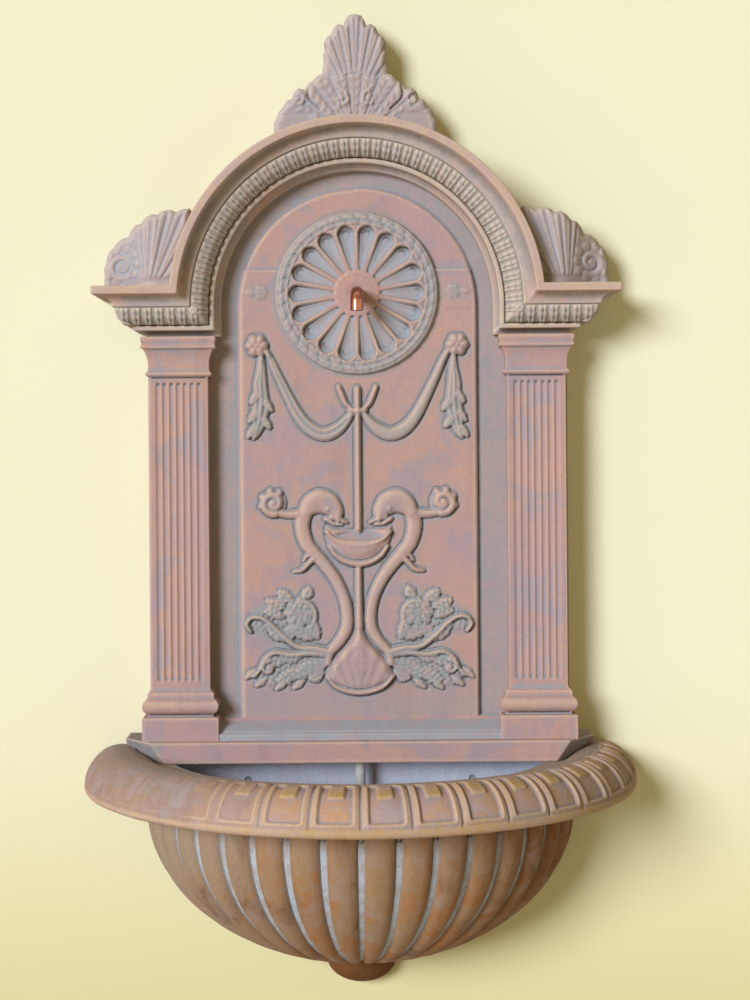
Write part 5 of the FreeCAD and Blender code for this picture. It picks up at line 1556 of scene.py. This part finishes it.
def makeRim():
    r = rim
    pitch = math.pi / r["tongues"]
    profile = rimProfile()
    normal = lineNormals(profile)
    if normal[len(normal) // 2, 0] < 0:
        normal = -normal
    turn = np.degrees(np.arctan2(profile[:, 1] - r["crestHeight"] + r["ovolo"], profile[:, 0] - rollEnd))
    turn = np.where(profile[:, 0] > rollEnd - 0.5, turn, 90 + (rollEnd - profile[:, 0]) * 1.3)
    across = np.linspace(-0.5, 0.5, 45)
    halfWide = pitch * r["faceRadius"] / 2
    wide = across[None, :] * 2 * halfWide * np.ones((len(profile), 1))
    up = turn[:, None] * np.ones_like(wide)
    toMm = math.pi / 180 * r["ovolo"]
    arcMm = (up - (r["topDeg"] + r["footDeg"]) / 2) * toMm
    halfHigh = (r["topDeg"] - r["footDeg"]) / 2 * toMm
    outside = boxDistance(wide, arcMm, r["panelHalf"], halfHigh, 2.5)
    push = -r["sunk"] * smoothStep(0.9, -1.4, outside)
    push += 1.1 * np.exp(-((outside - 2.2) / 1.6) ** 2)
    gap = halfWide - np.abs(wide)
    along = smoothStep(4, 12, up) * smoothStep(104, 92, up)
    push -= r["seam"] * np.exp(-(gap / 1.6) ** 2) * along
    push -= 1.2 * np.exp(-((up - 9.0) / 2.2) ** 2)
    tabBox = boxDistance(wide, arcMm - halfHigh + r["tabHigh"] / 2, r["tabHalf"], r["tabHigh"] / 2, 2.5)
    tab = smoothStep(0.7, -1.4, tabBox)
    push += r["tabRise"] * tab
    bulge = np.clip(1 - (wide / r["panelHalf"]) ** 2, 0, 1) * np.clip(1 - (arcMm / halfHigh) ** 2, 0, 1)
    push += bulge * (1 - tab)
    tail = np.array([(r["soffitInner"] + 60, -r["soffit"]), (r["soffitInner"] + 30, -r["soffit"]),
                     (r["soffitInner"], -r["soffit"])])
    tailRows = np.zeros((len(tail), wide.shape[1]))
    push = np.vstack([push, tailRows])
    outR = np.vstack([normal[:, :1] + wide * 0, tailRows])
    outZ = np.vstack([normal[:, 1:] + wide * 0, tailRows])
    radius = np.vstack([profile[:, :1] + wide * 0, tail[:, :1] + tailRows]) + outR * push
    height = np.vstack([profile[:, 1:] + wide * 0, tail[:, 1:] + tailRows]) + outZ * push
    radius = np.minimum(radius, rollEnd + r["ovolo"] - 0.1)
    points = ringPoints(radius, height, across[None, :] * pitch)
    sector = gridPiece("basinRim", points, (rollEnd, 0, -15))
    # the tab's ochre is its own colour; ochre on the lower band and on the whole underside is painted warm
    # shade
    tabToneAndShade = 0.9 * tab * smoothStep(80, 68, up) + 0.55 * smoothStep(12, 5, up)
    # painted highlight and patina: the top of the roll and the ledge take the pale grey tone as painted
    # highlight; the seams between the tongues take patina
    seamToneAndHighlight = 0.55 * smoothStep(70, 96, up) + 0.35 * (outside > 0) * along
    paintPoints(sector, "accent", np.vstack([tabToneAndShade, tailRows + 1]))
    paintPoints(sector, "patinaAndPaintedLight", np.vstack([seamToneAndHighlight, tailRows]))
    for name, values in (("push", push), ("outR", outR), ("outZ", outZ)):
        storePoints(sector, name, values)
    turnRound(sector, r["tongues"] + 1, pitch, -math.pi, (0.0, 0.0, 1.0), rimStone)
    trimBehind(sector)
    # the left end has lost its tongues to the weather
    place = piecePoints(sector)
    worn = smoothStep(-25, -225, place[:, 0]) * r["wear"]
    far = np.maximum(np.hypot(place[:, 0], place[:, 1]), 1.0)
    back = readPoints(sector, "push") * worn
    place[:, 0] -= place[:, 0] / far * readPoints(sector, "outR") * back
    place[:, 1] -= place[:, 1] / far * readPoints(sector, "outR") * back
    place[:, 2] -= readPoints(sector, "outZ") * back
    movePoints(sector, place)
    paintPoints(sector, "accent", readPoints(sector, "accent") * (1 - worn))
    grey = readPoints(sector, "patinaAndPaintedLight") * (1 - 0.4 * worn) + 0.35 * worn * (place[:, 2] > -8)
    paintPoints(sector, "patinaAndPaintedLight", grey)
    castFinish(sector, rimStone, 14, 1.0, 0.35)
    x, z = r["backCentre"]
    closeBack(sector, [(-x, z), (x, z)], 0.55)
    settle(sector, "basin")


makeRim()
print("rim turned")


# Gadrooned bowl and its drop finial

bowl = {
    "radius": 268.0, "drop": 193.0, "shoulder": -61.0, "foot": 40.5, "top": -38.0, "gadroons": 19,
    "relief": 6.5, "valley": 0.78, "channel": 1.8, "lobesFrom": -43.0, "lobesFull": -54.0,
    "neck": [(30, -236), (37, -241), (40, -246), (40.5, -250), (43, -253.5), (44, -257.5)],
    "domeRadius": 44.0, "domeTop": -258.0, "domeDrop": 29.6, "finialCentre": -256.0,
}


def makeBowl():
    b = bowl
    pitch = math.pi / b["gadroons"]
    lastTurn = math.acos(b["foot"] / b["radius"])
    upper = [(b["radius"], z) for z in np.linspace(b["top"], b["shoulder"], 12, endpoint=False)]
    lower = [(b["radius"] * math.cos(t), b["shoulder"] - b["drop"] * math.sin(t))
             for t in np.linspace(0, lastTurn, 96)]
    profile = np.array(upper + lower)
    across = np.linspace(-0.5, 0.5, 45)
    u = np.abs(across)[None, :] * 2
    radius = profile[:, 0][:, None]
    height = profile[:, 1][:, None]
    size = radius / b["radius"]
    begin = smoothStep(b["lobesFrom"], b["lobesFull"], height + 6.0 * u ** 2)
    lobe = b["relief"] * (0.22 + 0.78 * size) * np.minimum(u / b["valley"], 1.0) ** 2.6
    channel = b["channel"] * (0.4 + 0.6 * size) * smoothStep(b["valley"] - 0.04, b["valley"] + 0.05, u)
    inset = begin * (lobe + channel) + (1 - begin) * b["relief"] * 0.5
    normal = lineNormals(profile)
    out = radius - inset * np.abs(normal[:, 0][:, None])
    up = height + inset * np.abs(normal[:, 1][:, None])
    sector = gridPiece("bowl", ringPoints(out, up, across[None, :] * pitch), (0, 0, b["shoulder"]))
    pale = 0.95 * smoothStep(b["valley"], b["valley"] + 0.06, u) * smoothStep(-48, -80, height)
    paintPoints(sector, "accent", pale)
    # painted shadow: a dark brown band round the top of the bowl, under the rim
    paintPoints(sector, "patinaAndPaintedLight", 0.95 * smoothStep(-56, -44, height + 0 * u))
    turnRound(sector, b["gadroons"] + 1, pitch, -math.pi, (0.0, 0.0, 1.0), bowlStone)
    trimBehind(sector)
    castFinish(sector, bowlStone, 15, 1.2, 0.3)
    closeBack(sector, [(0.0, b["shoulder"])], 0.92)
    settle(sector, "basin")


def makeFinial():
    b = bowl
    neck = smoothCurve(b["neck"], 1.2)
    dome = [(b["domeRadius"] * math.cos(t), b["domeTop"] - b["domeDrop"] * math.sin(t))
            for t in np.linspace(0, math.pi / 2, 34)]
    dome[-1] = (0.3, dome[-1][1])
    profile = np.vstack([neck, dome])
    points = ringPoints(profile[:, :1], profile[:, 1:], np.linspace(-math.pi, 0, 90)[None, :])
    piece = gridPiece("finial", points, (0, 0, b["domeTop"]))
    castFinish(piece, finialStone, 16, 0.6, 0.25)
    closeBack(piece, [(0.0, b["finialCentre"])], 0.5)
    settle(piece, "basin")


def basinInsideFaces(x, y, z, normal):
    # the rounded cavity, whose faces look to its middle, and the front of the rear wall
    h = hidden
    if y > -h["wallSkin"]:
        return False
    radius = math.hypot(x, y)
    inwards = x * normal.x + y * normal.y + (z + 20) * normal.z < -1
    rearWall = y > -h["rearWall"] and normal.y < -0.9 and radius < h["cavityRadius"] and z < 1
    return rearWall or (inwards and radius < h["cavityRadius"] + 2 and h["cavityFloor"] < z < 0.5)


def basinBackFaces(x, y, z, normal):
    # the wall face, and the bores through the rear wall
    h = hidden
    bore = y > -h["rearWall"] and abs(normal.y) < 0.5 and z < -1
    return y > -h["wallSkin"] or (bore and math.hypot(x, z + 60) < h["anchorReach"])


makeBowl()
makeFinial()
keepFaces("basinInside", "basin", basinInsideFaces, insideStone)
keepFaces("basinBack", "basin", basinBackFaces, bowlStone)
print("bowl turned")


# Finishes of the pieces kept from the frame

def finishMaterial(name, colour, metallic, roughness, worn, grainSize, bump):
    material, tree, shader = newMaterial(name)
    coordinates = addNode(tree, "ShaderNodeTexCoord").outputs["Object"]
    clouds = noiseFrom(tree, coordinates, grainSize * 6, 4.0, 0.6, 0.3)
    grain = noiseFrom(tree, coordinates, grainSize, 3.0, 0.6)
    base = blendColour(tree, ramp(tree, clouds, 0.40, 0.66), colour, worn)
    tree.links.new(base, shader.inputs["Base Color"])
    shader.inputs["Metallic"].default_value = metallic
    tree.links.new(ramp(tree, clouds, 0.3, 0.7, roughness * 0.75, min(1.0, roughness * 1.3)),
                   shader.inputs["Roughness"])
    bumpFrom(tree, shader, grain, bump, 0.4)
    return material


# colour, metal, roughness, worn colour, size of the grain and height of its bumps
finishLooks = {
    "brightCopper": ((196, 130, 106), 1.0, 0.24, (140, 76, 52), 3.0, 0.05),
    "turnedBrass": ((206, 170, 96), 1.0, 0.3, (160, 124, 62), 2.0, 0.04),
    "zincPlate": ((176, 178, 182), 1.0, 0.38, (140, 142, 146), 4.0, 0.05),
    "blackRubber": ((34, 34, 35), 0.0, 0.75, (48, 47, 46), 2.0, 0.06),
    "pumpPlastic": ((30, 31, 34), 0.0, 0.5, (42, 43, 46), 1.2, 0.05),
    "greyPlastic": ((92, 92, 95), 0.0, 0.48, (78, 78, 80), 1.2, 0.05),
    "whitePlastic": ((222, 221, 214), 0.0, 0.42, (204, 202, 192), 1.2, 0.04),
    "milkyVinyl": ((196, 194, 186), 0.0, 0.28, (172, 168, 158), 6.0, 0.05),
}
kit = {name: finishMaterial(name, *look) for name, look in finishLooks.items()}

finishes = {
    "brightCopper": ["spout"],
    "turnedBrass": ["spout_locknut"],
    "zincPlate": ["tube_clamp", "tube_clips", "tube_clip_screws", "panel_hanger", "panel_hanger_screws",
                  "wall_cleat"],
    "blackRubber": ["spout_gasket", "cord_stopper", "pump_shaft_bushes", "pump_suction_cups",
                    "pump_cable_gland"],
    "pumpPlastic": ["pump_housing", "pump_volute_cover", "pump_outlet", "pump_intake_cover"],
    "greyPlastic": ["spout_elbow_fitting", "pump_flow_dial"],
    "whitePlastic": ["pump_impeller", "pump_shaft"],
    "milkyVinyl": ["supply_tube"],
}
for finish, nodes in finishes.items():
    for mesh in [bpy.data.objects[node].data for node in nodes]:
        if not mesh.materials:
            mesh.materials.append(None)
        for index in range(len(mesh.materials)):
            mesh.materials[index] = kit[finish]
print("kept pieces finished")


# Wall, floor, lamps and camera

# lengths in metres here
studio = {
    "wall": (240, 235, 196), "wallLow": (222, 208, 150), "floor": (250, 248, 242), "plug": (150, 153, 160),
    "wallHalf": 3.0, "wallGap": 0.002, "floorHalf": 6.0, "floorHeight": -0.62,
    "plugAcross": 0.14, "plugDepth": 0.0235, "plugHeight": -0.03, "plugRadius": 0.008, "plugSides": 24,
    "skyGlare": (244, 240, 224),
    "sunTurn": (76, 0, -34), "sunPower": 3.3, "sunAngle": 22.0, "sunTint": (0.80, 0.88, 1.04),
    "sky": 0.28, "skyTint": (1.0, 0.80, 0.34, 1.0),
    "cameraDistance": 2.275, "cameraHeight": 0.381, "lens": 64.8, "shift": (0.017, -0.050), "roll": 0.45,
}


def mixShaders(tree, share, first, second, out):
    mix = addNode(tree, "ShaderNodeMixShader", values={0: share, 1: first, 2: second})
    tree.links.new(mix.outputs[0], out.inputs[0])


def stageMaterial(name, colour, seeThroughBack=False, lowColour=None):
    material, tree, shader = newMaterial(name)
    coordinates = addNode(tree, "ShaderNodeTexCoord").outputs["Object"]
    clouds = noiseFrom(tree, coordinates, 400.0, 2.0)
    paler = tuple(min(255, value + 4) for value in colour)
    base = blendColour(tree, clouds, colour, paler)
    if lowColour:
        height = addNode(tree, "ShaderNodeSeparateXYZ", values={"Vector": coordinates}).outputs["Z"]
        base = blendColour(tree, ramp(tree, height, 0.15, -0.45), base, lowColour)
    tree.links.new(base, shader.inputs["Base Color"])
    shader.inputs["Roughness"].default_value = 0.95
    shader.inputs["Specular IOR Level"].default_value = 0.1
    if seeThroughBack:
        out = [node for node in tree.nodes if node.type == "OUTPUT_MATERIAL"][0]
        clear = addNode(tree, "ShaderNodeBsdfTransparent")
        facing = addNode(tree, "ShaderNodeNewGeometry").outputs["Backfacing"]
        mixShaders(tree, facing, shader.outputs[0], clear.outputs[0], out)
    return material


def addSheet(name, corners, material):
    # one flat face that only serves the picture
    mesh = bpy.data.meshes.new(name)
    mesh.from_pydata(corners, [], [tuple(range(len(corners)))])
    mesh.materials.append(material)
    sheet = addObject(name, mesh)
    return sheet


def makeStage():
    s = studio
    across = s["wallHalf"]
    gap = s["wallGap"]
    low = s["floorHeight"]
    wide = s["floorHalf"]
    corners = [(-across, gap, low), (across, gap, low), (across, gap, across), (-across, gap, across)]
    wall = addSheet("wall", corners, stageMaterial("paintedWall", s["wall"], True, s["wallLow"]))
    corners = [(-wide, -wide, low), (wide, -wide, low), (wide, wide, low), (-wide, wide, low)]
    addSheet("floor", corners, stageMaterial("paleFloor", s["floor"]))
    plugGrey = stageMaterial("plugGrey", s["plug"])
    for sideways in (-s["plugAcross"], s["plugAcross"]):
        # grey plug in the wall behind each fixing hole of the basin
        ring = [(sideways + s["plugRadius"] * math.cos(t), -s["plugDepth"],
                 s["plugHeight"] + s["plugRadius"] * math.sin(t))
                for t in np.linspace(0, 2 * math.pi, s["plugSides"], endpoint=False)]
        addSheet("wallPlug", ring, plugGrey)
    wall.visible_shadow = False
    wall.visible_diffuse = False
    wall.visible_glossy = False


def makeLight():
    s = studio
    lamp = bpy.data.lights.new("key", "SUN")
    lamp.energy = s["sunPower"]
    lamp.angle = math.radians(s["sunAngle"])
    lamp.color = s["sunTint"]
    addObject("key", lamp).rotation_euler = [math.radians(value) for value in s["sunTurn"]]
    world = bpy.data.worlds.new("studio")
    scene.world = world
    world.use_nodes = True
    tree = world.node_tree
    tree.nodes.clear()
    out = tree.nodes.new("ShaderNodeOutputWorld")
    soft = addNode(tree, "ShaderNodeBackground", values={"Color": s["skyTint"], "Strength": s["sky"]})
    pale = addNode(tree, "ShaderNodeBackground", values={"Color": linear(s["skyGlare"]), "Strength": 1.0})
    path = addNode(tree, "ShaderNodeLightPath")
    seen = mathNode(tree, "MAXIMUM", path.outputs["Is Camera Ray"], path.outputs["Is Glossy Ray"])
    mixShaders(tree, seen, soft.outputs[0], pale.outputs[0], out)


def makeCamera():
    s = studio
    data = bpy.data.cameras.new("camera")
    data.lens = s["lens"]
    data.shift_x, data.shift_y = s["shift"]
    camera = addObject("camera", data)
    camera.location = (0.0, -s["cameraDistance"], s["cameraHeight"])
    camera.rotation_euler = (math.radians(90), math.radians(s["roll"]), 0.0)
    scene.camera = camera


makeStage()
makeLight()
makeCamera()
scene.view_settings.view_transform = "Standard"
print("studio set")
